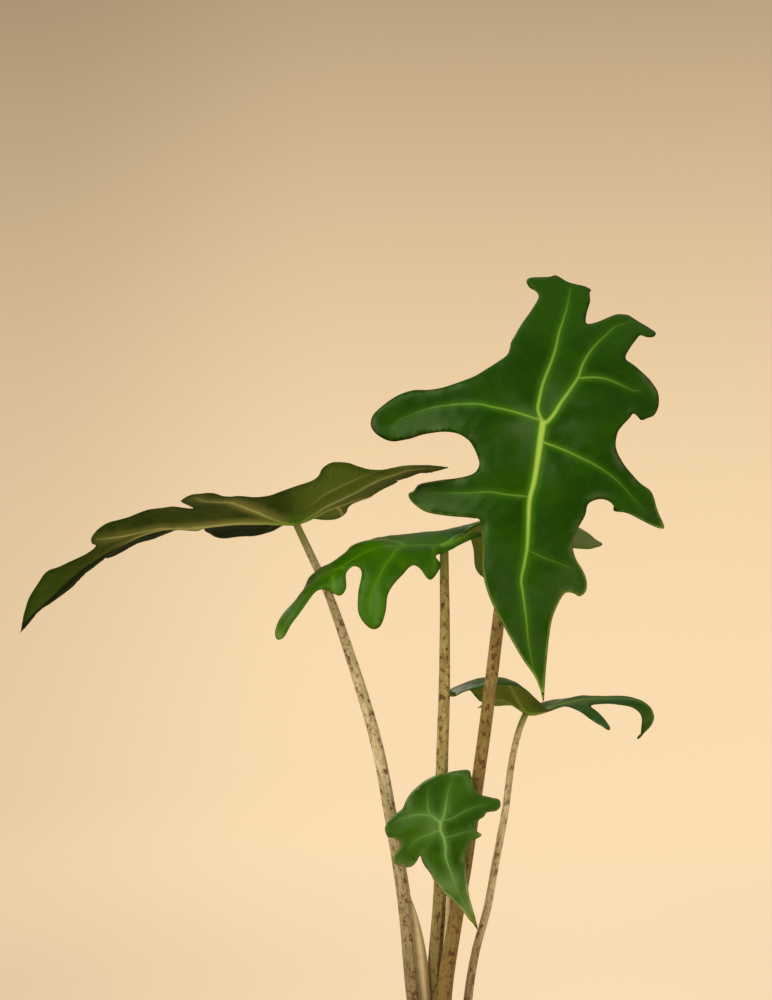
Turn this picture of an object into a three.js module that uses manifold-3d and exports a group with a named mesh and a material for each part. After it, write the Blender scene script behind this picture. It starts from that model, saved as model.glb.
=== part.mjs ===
// Potted alocasia: five lobed leaf blades on long stalks, a short crown, potting bark and a plain clay pot.
// Millimetres, +Z up, front towards -Y. The origin is the centre of the pot's flat underside.
import * as THREE from "three";
import { mergeVertices } from "three/addons/utils/BufferGeometryUtils.js";
import Module from "manifold-3d";

const wasm = await Module();
wasm.setup();

// Clearance kept between pieces that touch, and the seed of every random draw.
const GAP = 0.3;
const SEED = 27;

const POT = {
  height: 140,
  baseRadius: 56,
  taper: 0.132,
  wall: 6,
  floor: 8,
  floorBevel: 5,
  rimHeight: 26,
  rimStep: 4.5,
  rimRadius: 80,
  bevel: 1.6,
  rimBevel: 3,
  drainCount: 3,
  drainRadius: 6,
  drainSides: 20,
  drainCircle: 28,
  grooveDepth: 2.5,
  grooveWidth: 6,
  sides: 72,
};

// The chips are laid out in a spiral that turns by the golden angle.
const SOIL = {
  surface: 125,
  rings: 9,
  sides: 40,
  unevenness: 1.6,
  hollow: 3,
  slack: 0.6,
  chips: 64,
  chipLength: [7, 15],
  chipWidth: [4, 8],
  chipThickness: [3, 5],
  chipShrink: [0.72, 1],
  chipTilt: [-16, 16],
  chipSink: 0.45,
  chipTurn: Math.PI * (3 - Math.sqrt(5)),
  chipInset: 9.3,
  crownMargin: 3,
};

// The crown is a short upright root stock. Its profile holds [share of radius, height above the foot].
const CROWN = {
  radius: 17,
  foot: 86,
  top: 53,
  sides: 28,
  profile: [[0.55, 0], [0.9, 8], [1.02, 24], [0.96, 39], [1.06, 44], [1, 49], [0.8, 52]],
};

const BLADE = {
  thickness: 0.8,
  cell: 9,
  edgeStep: 7,
  flank: 3.4,
  bulge: 2.2,
  bulgeReach: 13,
  ribBase: 1.9,
  ribTip: 0.5,
  sideRib: 0.55,
  normalStep: 0.5,
  socketReach: 26,
  socketDepth: 6,
};

const STALK = { sides: 10, step: 15, overrun: 1.2, wingCurve: 0.8 };

const VEIN_STEPS = 24;
const PINS = [1 / 3, 2 / 3, 1];

// Least room kept round a mesh point, as a share of the mesh cell or of the flank.
const ROOM = { vein: 0.4, flank: 0.9, grid: 0.62 };

const COLOURS = {
  clay: 0xb5693f,
  soil: 0x3a2a1e,
  crown: 0x6b5238,
  stalk: 0xa59a6c,
  blade: 0x1f5a26,
};

// Each leaf. The junction is where the stalk meets the blade. The pose turns the blade's own axes: s runs
// along the midrib to the tip, t across it, and heading, pitch and roll are in degrees.
// A vein starts "at" millimetres along its parent, turns away by heading and lifts by rise. Over its length
// it sweeps sideways and bends down, sooner or later by the exponents coil and droop.
// The outline holds [s, t] in millimetres on the flat blade. A stalk's radii are spread evenly along its
// route, and its wing, the thin edge of a sheath, stands out between two shares of that length.
const LEAVES = {
  upper: {
    junction: [60.6, -20, 548],
    pose: { heading: -90, pitch: -68, roll: 0 },
    slack: 2,
    veins: {
      mid: { heading: -11, length: 181, sweep: 31, rise: -4, bend: 18, coil: 1.8, main: true },
      backLeft: { on: "mid", at: 0, heading: 189, length: 108, sweep: -18, bend: 26, main: true },
      backRight: { on: "mid", at: 0, heading: 158, length: 108, sweep: -30, bend: 26, main: true },
      backFork: { on: "backRight", at: 44, heading: -54, length: 52, sweep: -26, bend: 12 },
      leftWide: { on: "mid", at: 0, heading: -110, length: 98, sweep: 42, rise: 3, bend: 22 },
      rightWide: { on: "mid", at: 12, heading: 85, length: 87, sweep: -34, rise: 6, bend: 22 },
      leftLow: { on: "mid", at: 49, heading: -87, length: 70, sweep: 2, rise: 3, bend: 30 },
      rightLow: { on: "mid", at: 81, heading: 72, length: 40, sweep: -8, rise: 4, bend: 20 },
    },
    outline: [
      [-74, 30], [-87, 30], [-102, 34], [-108, 23], [-113, 10], [-109, -7], [-102, -5], [-93, -1],
      [-85, -3], [-73, -9], [-59, -17], [-44, -23], [-37, -33], [-30, -47], [-26, -63], [-26, -80],
      [-22, -94], [-15, -106], [-6, -109], [3, -103], [7, -92], [5, -75], [7, -56], [14, -45],
      [24, -40], [32, -42], [34, -54], [35, -73], [39, -86], [47, -85], [54, -72], [58, -56],
      [62, -40], [76, -39], [90, -39], [103, -37], [117, -31], [131, -23], [146, -16], [158, -8],
      [168, -4], [176, -1], [163, -1], [148, 1], [133, 3], [119, 7], [110, 13], [111, 22], [105, 26],
      [92, 23], [80, 19], [68, 20], [53, 27], [51, 37], [57, 44], [60, 56], [68, 72], [63, 75],
      [55, 71], [43, 66], [35, 57], [26, 50], [16, 46], [7, 47], [-1, 52], [-7, 59], [-6, 65],
      [-13, 72], [-23, 75], [-32, 71], [-42, 60], [-48, 55], [-58, 61], [-67, 67], [-70, 75],
      [-79, 68], [-85, 57], [-81, 43],
    ],
    stalk: {
      route: [
        [-1, -6, 137], [-1, -8, 186], [7, -10, 241], [13, -11, 275], [22, -13, 337], [27, -15, 375],
        [33, -17, 425], [39, -17, 475], [50, -13, 521], [60.6, -20, 548],
      ],
      radii: [5.5, 4.1, 3.9, 3.1],
    },
  },
  left: {
    junction: [-94.7, 10, 486.1],
    pose: { heading: 180, pitch: -1, roll: 19 },
    slack: 2,
    veins: {
      mid: { heading: 0, length: 196, sweep: -3, bend: 57, droop: 1.9, main: true },
      backNear: { on: "mid", at: 0, heading: 146, length: 108, sweep: 20, rise: 18, bend: 14, main: true },
      backNearFork: { on: "backNear", at: 34, heading: -52, length: 60, sweep: -20, rise: 3 },
      backFar: { on: "mid", at: 0, heading: -145, length: 80, sweep: -10, rise: 30, bend: 8, main: true },
      backFarFork: { on: "backFar", at: 34, heading: 46, length: 44, sweep: 20, rise: 6, bend: 14 },
      nearWide: { on: "mid", at: 6, heading: 64, length: 95, sweep: -10, rise: 1, bend: 16 },
      nearLow: { on: "mid", at: 62, heading: 50, length: 78, sweep: -20, rise: 6, bend: 14 },
      farWide: { on: "mid", at: 4, heading: -80, length: 80, sweep: 12, rise: 26, bend: 28 },
      farLow: { on: "mid", at: 62, heading: -52, length: 62, sweep: 10, rise: 22, bend: 26 },
    },
    outline: [
      [-50, 4], [-60, 16], [-72, 26], [-84, 34], [-95, 41], [-98, 48], [-87, 54], [-68, 54], [-51, 53],
      [-35, 57], [-27, 57], [-19, 49], [-6, 45], [16, 49], [39, 71], [54, 93], [65, 92], [67, 66],
      [61, 44], [76, 48], [98, 38], [116, 37], [127, 31], [129, 22], [128, 14], [136, 12], [151, 19],
      [164, 23], [175, 17], [185, 2], [195, -20], [177, -10], [161, -16], [147, -24], [134, -20],
      [124, -28], [124, -38], [114, -46], [98, -42], [82, -36], [68, -38], [62, -48], [60, -64],
      [52, -78], [38, -82], [22, -70], [8, -54], [-8, -48], [-26, -54], [-40, -60], [-50, -58],
      [-60, -50], [-72, -48], [-80, -40], [-76, -26], [-62, -14],
    ],
    stalk: {
      route: [
        [-11.5, -0.5, 137], [-19.5, 0, 185], [-25.8, 0, 248], [-34.5, 0, 302], [-43.5, 2, 347.5],
        [-61, 5, 405], [-75, 8, 444], [-85.2, 9, 466], [-94.7, 10, 486.1],
      ],
      radii: [5, 4.3, 3.6, 2.2],
      wing: { from: 0.05, to: 0.31, height: 6.5 },
    },
  },
  drooping: {
    junction: [-0.8, -8, 472.4],
    pose: { heading: 200, pitch: 20, roll: -12 },
    slack: 2,
    veins: {
      mid: { heading: 5, length: 136, sweep: -2, bend: 90, droop: 0.8, main: true },
      nearWide: { on: "mid", at: 26, heading: 42, length: 62, sweep: 14, rise: -18, bend: 46 },
      nearBase: { on: "mid", at: 8, heading: 88, length: 24, rise: -27, bend: 40 },
      nearLow: { on: "mid", at: 78, heading: 60, length: 24, rise: -24, bend: 30 },
      farWide: { on: "mid", at: 26, heading: -64, length: 58, rise: -6, bend: 34 },
      farLow: { on: "mid", at: 70, heading: -50, length: 30, rise: -16, bend: 20 },
      backNear: { on: "mid", at: 0, heading: 174, length: 96, sweep: -6, rise: 48, bend: 48, main: true },
      backFar: { on: "mid", at: 0, heading: -162, length: 74, sweep: -8, rise: 48, bend: 40, main: true },
      backFarDrop: { on: "backFar", at: 40, heading: 50, length: 58, rise: -36, bend: 56 },
    },
    outline: [
      [-16, -5], [-36, -4], [-58, 0], [-78, 8], [-92, 12], [-103, 16], [-99, 22], [-88, 26], [-76, 30],
      [-62, 26], [-50, 19], [-38, 15], [-30, 8], [-22, 4], [-13, 4], [-3, 8], [6, 12], [2, 20], [9, 29],
      [18, 22], [25, 21], [34, 28], [43, 34], [50, 40], [55, 49], [63, 56], [71, 55], [76, 48],
      [77, 39], [71, 29], [62, 18], [64, 10], [70, 11], [76, 20], [83, 21], [87, 13], [96, 11],
      [111, 10], [126, 9], [132, 3], [131, -3], [123, -6], [112, -8], [103, -8], [98, -14], [96, -24],
      [88, -30], [80, -25], [73, -16], [62, -15], [56, -24], [54, -40], [47, -54], [38, -54],
      [30, -42], [20, -30], [6, -25], [-10, -26], [-24, -34], [-34, -50], [-42, -68], [-53, -74],
      [-60, -64], [-60, -48], [-64, -38], [-74, -36], [-80, -28], [-72, -19], [-54, -13], [-34, -9],
    ],
    stalk: {
      route: [
        [-5, 8, 137], [-7.5, 6, 184], [-3.1, 4, 254], [-1.9, 0, 336], [-0.7, -2, 374],
        [-0.3, -5, 424], [-0.6, -7, 452], [-0.8, -8, 472.4],
      ],
      radii: [5, 4.2, 3.8, 2.7],
    },
  },
  hooked: {
    junction: [53.2, 32, 364.7],
    pose: { heading: -6, pitch: 8, roll: 10 },
    slack: 1,
    veins: {
      mid: { heading: 0, length: 118, sweep: 6, rise: 3, bend: 215, droop: 4, main: true },
      nearLow: { on: "mid", at: 8, heading: -50, length: 58, sweep: 14, rise: 5, bend: 32 },
      farLow: { on: "mid", at: 10, heading: 50, length: 50, sweep: -6, rise: 2, bend: 24 },
      backNear: { on: "mid", at: 0, heading: -152, length: 66, sweep: 8, rise: 93, bend: 124, main: true },
      backFar: { on: "mid", at: 0, heading: 158, length: 36, sweep: 6, rise: 50, bend: 64, main: true },
    },
    outline: [
      [-22, 2], [-36, -6], [-48, -14], [-57, -24], [-56, -36], [-44, -44], [-28, -42], [-12, -34],
      [2, -24], [12, -20], [22, -28], [38, -42], [49, -46], [52, -38], [42, -26], [35, -16], [42, -10],
      [64, -9], [92, -7], [112, -4], [122, 0], [112, 4], [92, 6], [64, 8], [44, 10], [36, 18],
      [38, 28], [40, 40], [34, 44], [24, 37], [10, 27], [-4, 23], [-16, 28], [-28, 30], [-37, 24],
      [-36, 14], [-29, 7],
    ],
    stalk: {
      route: [
        [12, 6, 137], [14.7, 11, 183], [19.4, 14, 212], [27.1, 17, 240], [32.6, 20, 269],
        [38.8, 24, 301], [43.5, 28, 334], [48.6, 31, 354], [53.2, 32, 364.7],
      ],
      radii: [3.2, 2.6, 2.4, 2],
    },
  },
  front: {
    junction: [-3.6, -40, 300.4],
    pose: { heading: -90, pitch: -66, roll: 0 },
    slack: 1,
    veins: {
      mid: { heading: 6, length: 70, sweep: 26, rise: -4, bend: 19, main: true },
      backLeft: { on: "mid", at: 0, heading: 211, length: 30, sweep: -40, bend: 26, main: true },
      backRight: { on: "mid", at: 0, heading: 160, length: 36, sweep: -2, bend: 26, main: true },
      leftWide: { on: "mid", at: 0, heading: -128, length: 36, sweep: 50, rise: 3, bend: 36 },
      rightWide: { on: "mid", at: 0, heading: 114, length: 40, sweep: -14, rise: 4, bend: 22 },
      leftLow: { on: "mid", at: 8, heading: -100, length: 38, sweep: 56, bend: 42 },
      rightLow: { on: "mid", at: 10, heading: 90, length: 24, sweep: -12, rise: 4, bend: 17 },
    },
    outline: [
      [-10, -27], [-17, -21], [-29, -12], [-36, 2], [-38, 14], [-34, 20], [-24, 22], [-19, 29], [-15, 39],
      [-10, 34], [-6, 27], [2, 22], [7, 25], [12, 18], [21, 16], [35, 16], [50, 19], [64, 22], [55, 16],
      [43, 3], [34, -6], [24, -11], [20, -14], [25, -20], [25, -29], [18, -30], [11, -24], [7, -32],
      [-1, -36], [-7, -32],
    ],
    stalk: {
      route: [
        [6, 1, 137], [0.2, 1.5, 185], [3.1, -3, 248], [3.8, -11, 266], [1, -26, 284],
        [-3.6, -40, 300.4],
      ],
      radii: [3, 2.5, 2.2, 1.7],
    },
  },
};

const radians = THREE.MathUtils.degToRad;

// A repeatable random number from 0 to 1 for each pair of whole numbers.
function chance(a, b = 0) {
  const wave = Math.sin(a * 127.1 + b * 311.7 + SEED * 74.7) * 43758.5453;
  return wave - Math.floor(wave);
}

function between([low, high], share) {
  return low + (high - low) * share;
}

function edgesOf([a, b, c]) {
  return [[a, b], [b, c], [c, a]];
}

// Closed mesh from points and triangles.
function meshGeometry(points, triangles) {
  const geometry = new THREE.BufferGeometry();
  const flat = points.flatMap((point) => point.toArray());
  geometry.setAttribute("position", new THREE.Float32BufferAttribute(flat, 3));
  geometry.setIndex(triangles.flat());
  return geometry;
}

// Joins the corners of a three.js geometry and drops the empty triangles at its poles.
function solidOf(geometry) {
  const bare = geometry.clone();
  bare.deleteAttribute("normal");
  bare.deleteAttribute("uv");
  const merged = mergeVertices(bare, 1e-4);
  const corners = merged.index.array;
  const kept = [];
  for (let i = 0; i < corners.length; i += 3) {
    const [a, b, c] = corners.slice(i, i + 3);
    if (a !== b && b !== c && c !== a) {
      kept.push(a, b, c);
    }
  }
  return new wasm.Manifold(new wasm.Mesh({
    numProp: 3,
    vertProperties: Float32Array.from(merged.attributes.position.array),
    triVerts: Uint32Array.from(kept),
  }));
}

function geometryOf(solid) {
  const mesh = solid.getMesh();
  const geometry = new THREE.BufferGeometry();
  geometry.setAttribute("position", new THREE.BufferAttribute(mesh.vertProperties, 3));
  geometry.setIndex(new THREE.BufferAttribute(mesh.triVerts, 1));
  return geometry;
}

function turned(profile, sides) {
  const points = profile.map(([radius, height]) => new THREE.Vector2(radius, height));
  return new THREE.LatheGeometry(points, sides).rotateX(Math.PI / 2);
}

function wallRadius(height) {
  return POT.baseRadius + POT.taper * height;
}

function innerRadius(height) {
  return wallRadius(height) - POT.wall;
}

// Tapered pot with a plain rolled rim, drain holes, and grooves under the floor that lead out of them.
function makePot() {
  const { height, rimHeight, rimStep, rimRadius, bevel, rimBevel, floor, floorBevel } = POT;
  const rimFoot = height - rimHeight;
  const profile = [
    [0, 0],
    [POT.baseRadius - bevel, 0],
    [wallRadius(bevel), bevel],
    [wallRadius(rimFoot), rimFoot],
    [wallRadius(rimFoot) + rimStep, rimFoot + 1],
    [rimRadius - 1, height - rimBevel],
    [rimRadius - rimBevel, height],
    [innerRadius(height) + rimBevel, height],
    [innerRadius(height), height - rimBevel],
    [innerRadius(floor + floorBevel), floor + floorBevel],
    [innerRadius(floor) - floorBevel, floor],
    [0, floor],
  ];
  let pot = solidOf(turned(profile, POT.sides));
  for (let i = 0; i < POT.drainCount; i += 1) {
    const angle = ((i + 0.5) / POT.drainCount) * 2 * Math.PI;
    const hole = new THREE.CylinderGeometry(POT.drainRadius, POT.drainRadius, floor * 3, POT.drainSides);
    hole.rotateX(Math.PI / 2).translate(POT.drainCircle, 0, 0).rotateZ(angle);
    const groove = new THREE.BoxGeometry(POT.baseRadius, POT.grooveWidth, POT.grooveDepth * 2);
    groove.translate(POT.drainCircle + POT.baseRadius / 2, 0, 0).rotateZ(angle);
    pot = pot.subtract(solidOf(hole)).subtract(solidOf(groove));
  }
  return geometryOf(pot);
}

// The crown's solid, grown on every side by a clearance when it cuts its neighbours.
function crownShape(clearance) {
  const { radius, foot, top, sides } = CROWN;
  const side = CROWN.profile.map(([share, height]) => [radius * share + clearance, foot + height]);
  const profile = [
    [0, foot - clearance],
    [side[0][0], foot - clearance],
    ...side.slice(1),
    [0, foot + top + clearance],
  ];
  return solidOf(turned(profile, sides));
}

function soilHeight(radius, angle) {
  const waves = Math.sin(3 * angle + 0.05 * radius) + Math.cos(5 * angle - 0.11 * radius);
  const sunk = SOIL.hollow * (radius / innerRadius(SOIL.surface)) ** 2;
  return SOIL.surface + (SOIL.unevenness / 2) * waves - sunk;
}

// Round heap with an uneven top, a tapered side and a flat foot.
function soilHeap() {
  const { rings, sides, surface, slack } = SOIL;
  const { floor, floorBevel } = POT;
  const foot = floor + GAP;
  const rim = innerRadius(surface) - slack;
  const points = [new THREE.Vector3(0, 0, surface), new THREE.Vector3(0, 0, foot)];
  const triangles = [];
  const loops = Array.from({ length: rings }, (_, i) => ({ radius: ((i + 1) / rings) * rim }));
  loops.push({ radius: innerRadius(foot + floorBevel) - slack, height: foot + floorBevel });
  loops.push({ radius: innerRadius(floor) - floorBevel - slack, height: foot });
  for (const { radius, height } of loops) {
    for (let j = 0; j < sides; j += 1) {
      const angle = (j / sides) * 2 * Math.PI;
      const z = height ?? soilHeight(radius, angle);
      points.push(new THREE.Vector3(radius * Math.cos(angle), radius * Math.sin(angle), z));
    }
  }
  const corner = (ring, j) => 2 + ring * sides + (j % sides);
  const last = loops.length - 1;
  for (let j = 0; j < sides; j += 1) {
    triangles.push([0, corner(0, j), corner(0, j + 1)]);
    triangles.push([1, corner(last, j + 1), corner(last, j)]);
    for (let ring = 1; ring <= last; ring += 1) {
      triangles.push([corner(ring - 1, j), corner(ring, j), corner(ring, j + 1)]);
      triangles.push([corner(ring - 1, j), corner(ring, j + 1), corner(ring - 1, j + 1)]);
    }
  }
  return solidOf(meshGeometry(points, triangles));
}

// One flake of bark, half sunk into the soil. Each draw has its own number after the chip's.
function barkChip(i) {
  const { chipShrink, chipTilt, chipSink, chipTurn, chipInset, crownMargin, chips, surface } = SOIL;
  const ranges = [SOIL.chipLength, SOIL.chipWidth, SOIL.chipThickness];
  const size = ranges.map((range, k) => between(range, chance(i, k)));
  const box = new THREE.BoxGeometry(...size).deleteAttribute("normal").deleteAttribute("uv");
  const chip = mergeVertices(box);
  const place = chip.attributes.position;
  for (let k = 0; k < place.count; k += 1) {
    const shrink = between(chipShrink, chance(i * 8 + k, 5));
    place.setXYZ(k, place.getX(k) * shrink, place.getY(k) * shrink, place.getZ(k));
  }
  const nearest = CROWN.radius + crownMargin;
  const farthest = innerRadius(surface) - chipInset;
  const radius = between([nearest, farthest], Math.sqrt((i + 0.5) / chips));
  const angle = chipTurn * i;
  chip.rotateY(radians(between(chipTilt, chance(i, 6))));
  chip.rotateX(radians(between(chipTilt, chance(i, 7))));
  chip.rotateZ(2 * Math.PI * chance(i, 8));
  const height = soilHeight(radius, angle) + size[2] * (0.5 - chipSink);
  chip.translate(radius * Math.cos(angle), radius * Math.sin(angle), height);
  return solidOf(chip);
}

function makeSoil() {
  let soil = soilHeap();
  for (let i = 0; i < SOIL.chips; i += 1) {
    soil = soil.add(barkChip(i));
  }
  return geometryOf(soil.subtract(crownShape(GAP)));
}

// The blade's axes at its junction: s to the tip, and n out of the upper face.
function bladeAxes({ heading, pitch, roll }) {
  const level = Math.cos(radians(pitch));
  const s = new THREE.Vector3(
    Math.cos(radians(heading)) * level,
    Math.sin(radians(heading)) * level,
    Math.sin(radians(pitch)),
  );
  const t = new THREE.Vector3(0, 0, 1).cross(s).normalize();
  const n = s.clone().cross(t);
  return { s, n: n.applyAxisAngle(s, radians(roll)) };
}

// Where a vein sets out: at the junction, or part of the way along the vein it branches from.
function veinStart(vein, parent, junction, axes) {
  if (!parent) {
    return { flat: new THREE.Vector2(), place: junction, course: 0, along: axes.s, normal: axes.n };
  }
  const step = (vein.at / parent.length) * VEIN_STEPS;
  const k = Math.min(Math.floor(step), VEIN_STEPS - 1);
  return {
    flat: parent.flat[k].clone().lerp(parent.flat[k + 1], step - k),
    place: parent.places[k].clone().lerp(parent.places[k + 1], step - k),
    course: parent.courses[k],
    along: parent.alongs[k],
    normal: parent.normals[k],
  };
}

// Grows a vein in steps, both on the flat blade and in space.
function growVein(vein, parent, junction, axes) {
  const start = veinStart(vein, parent, junction, axes);
  const along = start.along.clone();
  const normal = start.normal.clone();
  let course = start.course;
  const turn = (angle) => {
    course += angle;
    along.applyAxisAngle(normal, radians(angle));
  };
  const lift = (angle) => {
    const axle = along.clone().cross(normal).normalize();
    along.applyAxisAngle(axle, radians(angle));
    normal.applyAxisAngle(axle, radians(angle));
  };
  turn(vein.heading);
  lift(vein.rise ?? 0);
  const grown = {
    ...vein,
    flat: [start.flat],
    places: [start.place],
    courses: [course],
    alongs: [along.clone()],
    normals: [normal.clone()],
  };
  const share = (power, i) => ((i + 1) / VEIN_STEPS) ** power - (i / VEIN_STEPS) ** power;
  const stride = vein.length / VEIN_STEPS;
  for (let i = 0; i < VEIN_STEPS; i += 1) {
    turn((vein.sweep ?? 0) * share(vein.coil ?? 1, i));
    lift(-(vein.bend ?? 0) * share(vein.droop ?? 1, i));
    const heading = new THREE.Vector2(Math.cos(radians(course)), Math.sin(radians(course)));
    grown.flat.push(grown.flat[i].clone().addScaledVector(heading, stride));
    grown.places.push(grown.places[i].clone().addScaledVector(along, stride));
    grown.courses.push(course);
    grown.alongs.push(along.clone());
    grown.normals.push(normal.clone());
  }
  return grown;
}

function growVeins(leaf, junction) {
  const axes = bladeAxes(leaf.pose);
  const veins = {};
  for (const [name, vein] of Object.entries(leaf.veins)) {
    veins[name] = growVein(vein, veins[vein.on], junction, axes);
  }
  return veins;
}

// Solves a square set of equations with several right-hand sides, by elimination.
function solve(matrix, sides) {
  const rows = matrix.map((row, i) => [...row, ...sides[i]]);
  const count = rows.length;
  for (let i = 0; i < count; i += 1) {
    let best = i;
    for (let r = i + 1; r < count; r += 1) {
      if (Math.abs(rows[r][i]) > Math.abs(rows[best][i])) {
        best = r;
      }
    }
    [rows[i], rows[best]] = [rows[best], rows[i]];
    for (let r = 0; r < count; r += 1) {
      const factor = r === i ? 0 : rows[r][i] / rows[i][i];
      for (let c = i; c < rows[r].length; c += 1) {
        rows[r][c] -= factor * rows[i][c];
      }
    }
  }
  return rows.map((row, i) => row.slice(count).map((value) => value / row[i]));
}

// Smooth map from the flat blade to space that carries each flat pin to its place: a thin-plate spline.
function bladeMap(pins, places, slack) {
  const kernel = (a, b) => {
    const distance = a.distanceTo(b);
    return distance > 1e-9 ? distance * distance * Math.log(distance) : 0;
  };
  const matrix = pins.map((pin, i) => {
    const bends = pins.map((other, j) => kernel(pin, other) + (i === j ? slack : 0));
    return [...bends, 1, pin.x, pin.y];
  });
  matrix.push([...pins.map(() => 1), 0, 0, 0]);
  matrix.push([...pins.map((pin) => pin.x), 0, 0, 0]);
  matrix.push([...pins.map((pin) => pin.y), 0, 0, 0]);
  const goals = [...places.map((place) => place.toArray()), [0, 0, 0], [0, 0, 0], [0, 0, 0]];
  const weights = solve(matrix, goals);
  return (point) => {
    const terms = [...pins.map((pin) => kernel(point, pin)), 1, point.x, point.y];
    const sum = new THREE.Vector3();
    terms.forEach((term, i) => sum.addScaledVector(new THREE.Vector3(...weights[i]), term));
    return sum;
  };
}

// Points evenly spaced on a smooth curve through the outline, anticlockwise.
function smoothLoop(outline, spacing) {
  const stops = outline.map(([s, t]) => new THREE.Vector3(s, t, 0));
  const curve = new THREE.CatmullRomCurve3(stops, true, "catmullrom", 0.5);
  const count = Math.round(curve.getLength() / spacing);
  const loop = curve.getSpacedPoints(count).slice(0, count).map(({ x, y }) => new THREE.Vector2(x, y));
  return THREE.ShapeUtils.area(loop) < 0 ? loop.reverse() : loop;
}

function inside(loop, point) {
  let odd = false;
  loop.forEach((a, i) => {
    const b = loop[(i + 1) % loop.length];
    const crosses = (a.y > point.y) !== (b.y > point.y);
    if (crosses && point.x < ((b.x - a.x) * (point.y - a.y)) / (b.y - a.y) + a.x) {
      odd = !odd;
    }
  });
  return odd;
}

// Points inside the outline: along the veins, beside the main ones, then a grid between them.
function innerPoints(loop, veins) {
  const points = [];
  const add = (point, room) => {
    const clear = [...loop, ...points].every((other) => other.distanceTo(point) >= room);
    if (clear && inside(loop, point)) {
      points.push(point);
    }
  };
  const eachStop = (vein, visit) => {
    const stops = Math.floor(vein.length / BLADE.cell);
    for (let i = 0; i < stops; i += 1) {
      visit(Math.round((i / stops) * VEIN_STEPS));
    }
  };
  for (const vein of Object.values(veins)) {
    eachStop(vein, (k) => add(vein.flat[k], BLADE.cell * ROOM.vein));
  }
  for (const vein of Object.values(veins).filter(({ main }) => main)) {
    eachStop(vein, (k) => {
      const across = radians(vein.courses[k] + 90);
      const shift = new THREE.Vector2(Math.cos(across), Math.sin(across)).multiplyScalar(BLADE.flank);
      add(vein.flat[k].clone().add(shift), BLADE.flank * ROOM.flank);
      add(vein.flat[k].clone().sub(shift), BLADE.flank * ROOM.flank);
    });
  }
  const box = new THREE.Box2().setFromPoints(loop);
  const rowHeight = BLADE.cell * Math.sqrt(0.75);
  for (let row = 0; box.min.y + row * rowHeight < box.max.y; row += 1) {
    const shift = (row % 2) * (BLADE.cell / 2);
    for (let x = box.min.x + shift; x < box.max.x; x += BLADE.cell) {
      add(new THREE.Vector2(x, box.min.y + row * rowHeight), BLADE.cell * ROOM.grid);
    }
  }
  return points;
}

// Twice the area of a triangle, positive when it runs anticlockwise.
function area(a, b, c) {
  return (b.x - a.x) * (c.y - a.y) - (b.y - a.y) * (c.x - a.x);
}

function insideCircle(a, b, c, d) {
  const [p, q, r] = [a, b, c].map((corner) => corner.clone().sub(d));
  return p.lengthSq() * (q.x * r.y - r.x * q.y)
    - q.lengthSq() * (p.x * r.y - r.x * p.y)
    + r.lengthSq() * (p.x * q.y - q.x * p.y) > 1e-6;
}

// Triangles over the outline and its inner points. Edges are flipped until the triangles are well shaped,
// and the outline's own edges, which have one triangle each, never flip.
function triangulate(loop, inner) {
  const points = [...loop, ...inner];
  const triangles = new Map();
  const owners = new Map();
  let last = 0;
  const key = ([from, to]) => from * points.length + to;
  const put = (corners) => {
    last += 1;
    triangles.set(last, corners);
    edgesOf(corners).forEach((edge) => owners.set(key(edge), last));
  };
  const remove = (id) => {
    edgesOf(triangles.get(id)).forEach((edge) => owners.delete(key(edge)));
    triangles.delete(id);
  };
  const third = (id, [a, b]) => triangles.get(id).find((corner) => corner !== a && corner !== b);
  const turnsLeft = (a, b, c) => area(points[a], points[b], points[c]) > 1e-9;
  const settle = ([a, b]) => {
    const here = owners.get(key([a, b]));
    const there = owners.get(key([b, a]));
    if (here === undefined || there === undefined) {
      return;
    }
    const c = third(here, [a, b]);
    const d = third(there, [a, b]);
    const flippable = turnsLeft(c, d, b) && turnsLeft(d, c, a);
    if (!flippable || !insideCircle(points[a], points[b], points[c], points[d])) {
      return;
    }
    remove(here);
    remove(there);
    put([c, d, b]);
    put([d, c, a]);
    [[b, c], [c, a], [a, d], [d, b]].forEach(settle);
  };
  for (const [a, b, c] of THREE.ShapeUtils.triangulateShape(loop, [])) {
    put(turnsLeft(a, b, c) ? [a, b, c] : [a, c, b]);
  }
  [...triangles.values()].flatMap(edgesOf).forEach(settle);
  for (let p = loop.length; p < points.length; p += 1) {
    const holds = ([, corners]) => edgesOf(corners).every(([a, b]) => turnsLeft(a, b, p));
    const home = [...triangles.entries()].find(holds);
    if (home) {
      const [id, corners] = home;
      remove(id);
      edgesOf(corners).forEach(([a, b]) => put([a, b, p]));
      edgesOf(corners).forEach(settle);
    }
  }
  return { points, triangles: [...triangles.values()] };
}

// How far a flat point is from the nearest vein, and how thick the rib is there.
function nearestVein(veins, point) {
  let distance = Infinity;
  let rib = 0;
  const spot = new THREE.Vector3(point.x, point.y, 0);
  for (const vein of Object.values(veins)) {
    const stops = vein.flat.map(({ x, y }) => new THREE.Vector3(x, y, 0));
    for (let k = 0; k < VEIN_STEPS; k += 1) {
      const piece = new THREE.Line3(stops[k], stops[k + 1]);
      const foot = piece.closestPointToPoint(spot, true, new THREE.Vector3());
      if (foot.distanceTo(spot) < distance) {
        distance = foot.distanceTo(spot);
        rib = between([BLADE.ribBase, BLADE.ribTip], k / VEIN_STEPS) * (vein.main ? 1 : BLADE.sideRib);
      }
    }
  }
  return { distance, rib: distance < BLADE.flank / 2 ? rib : 0 };
}

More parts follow.
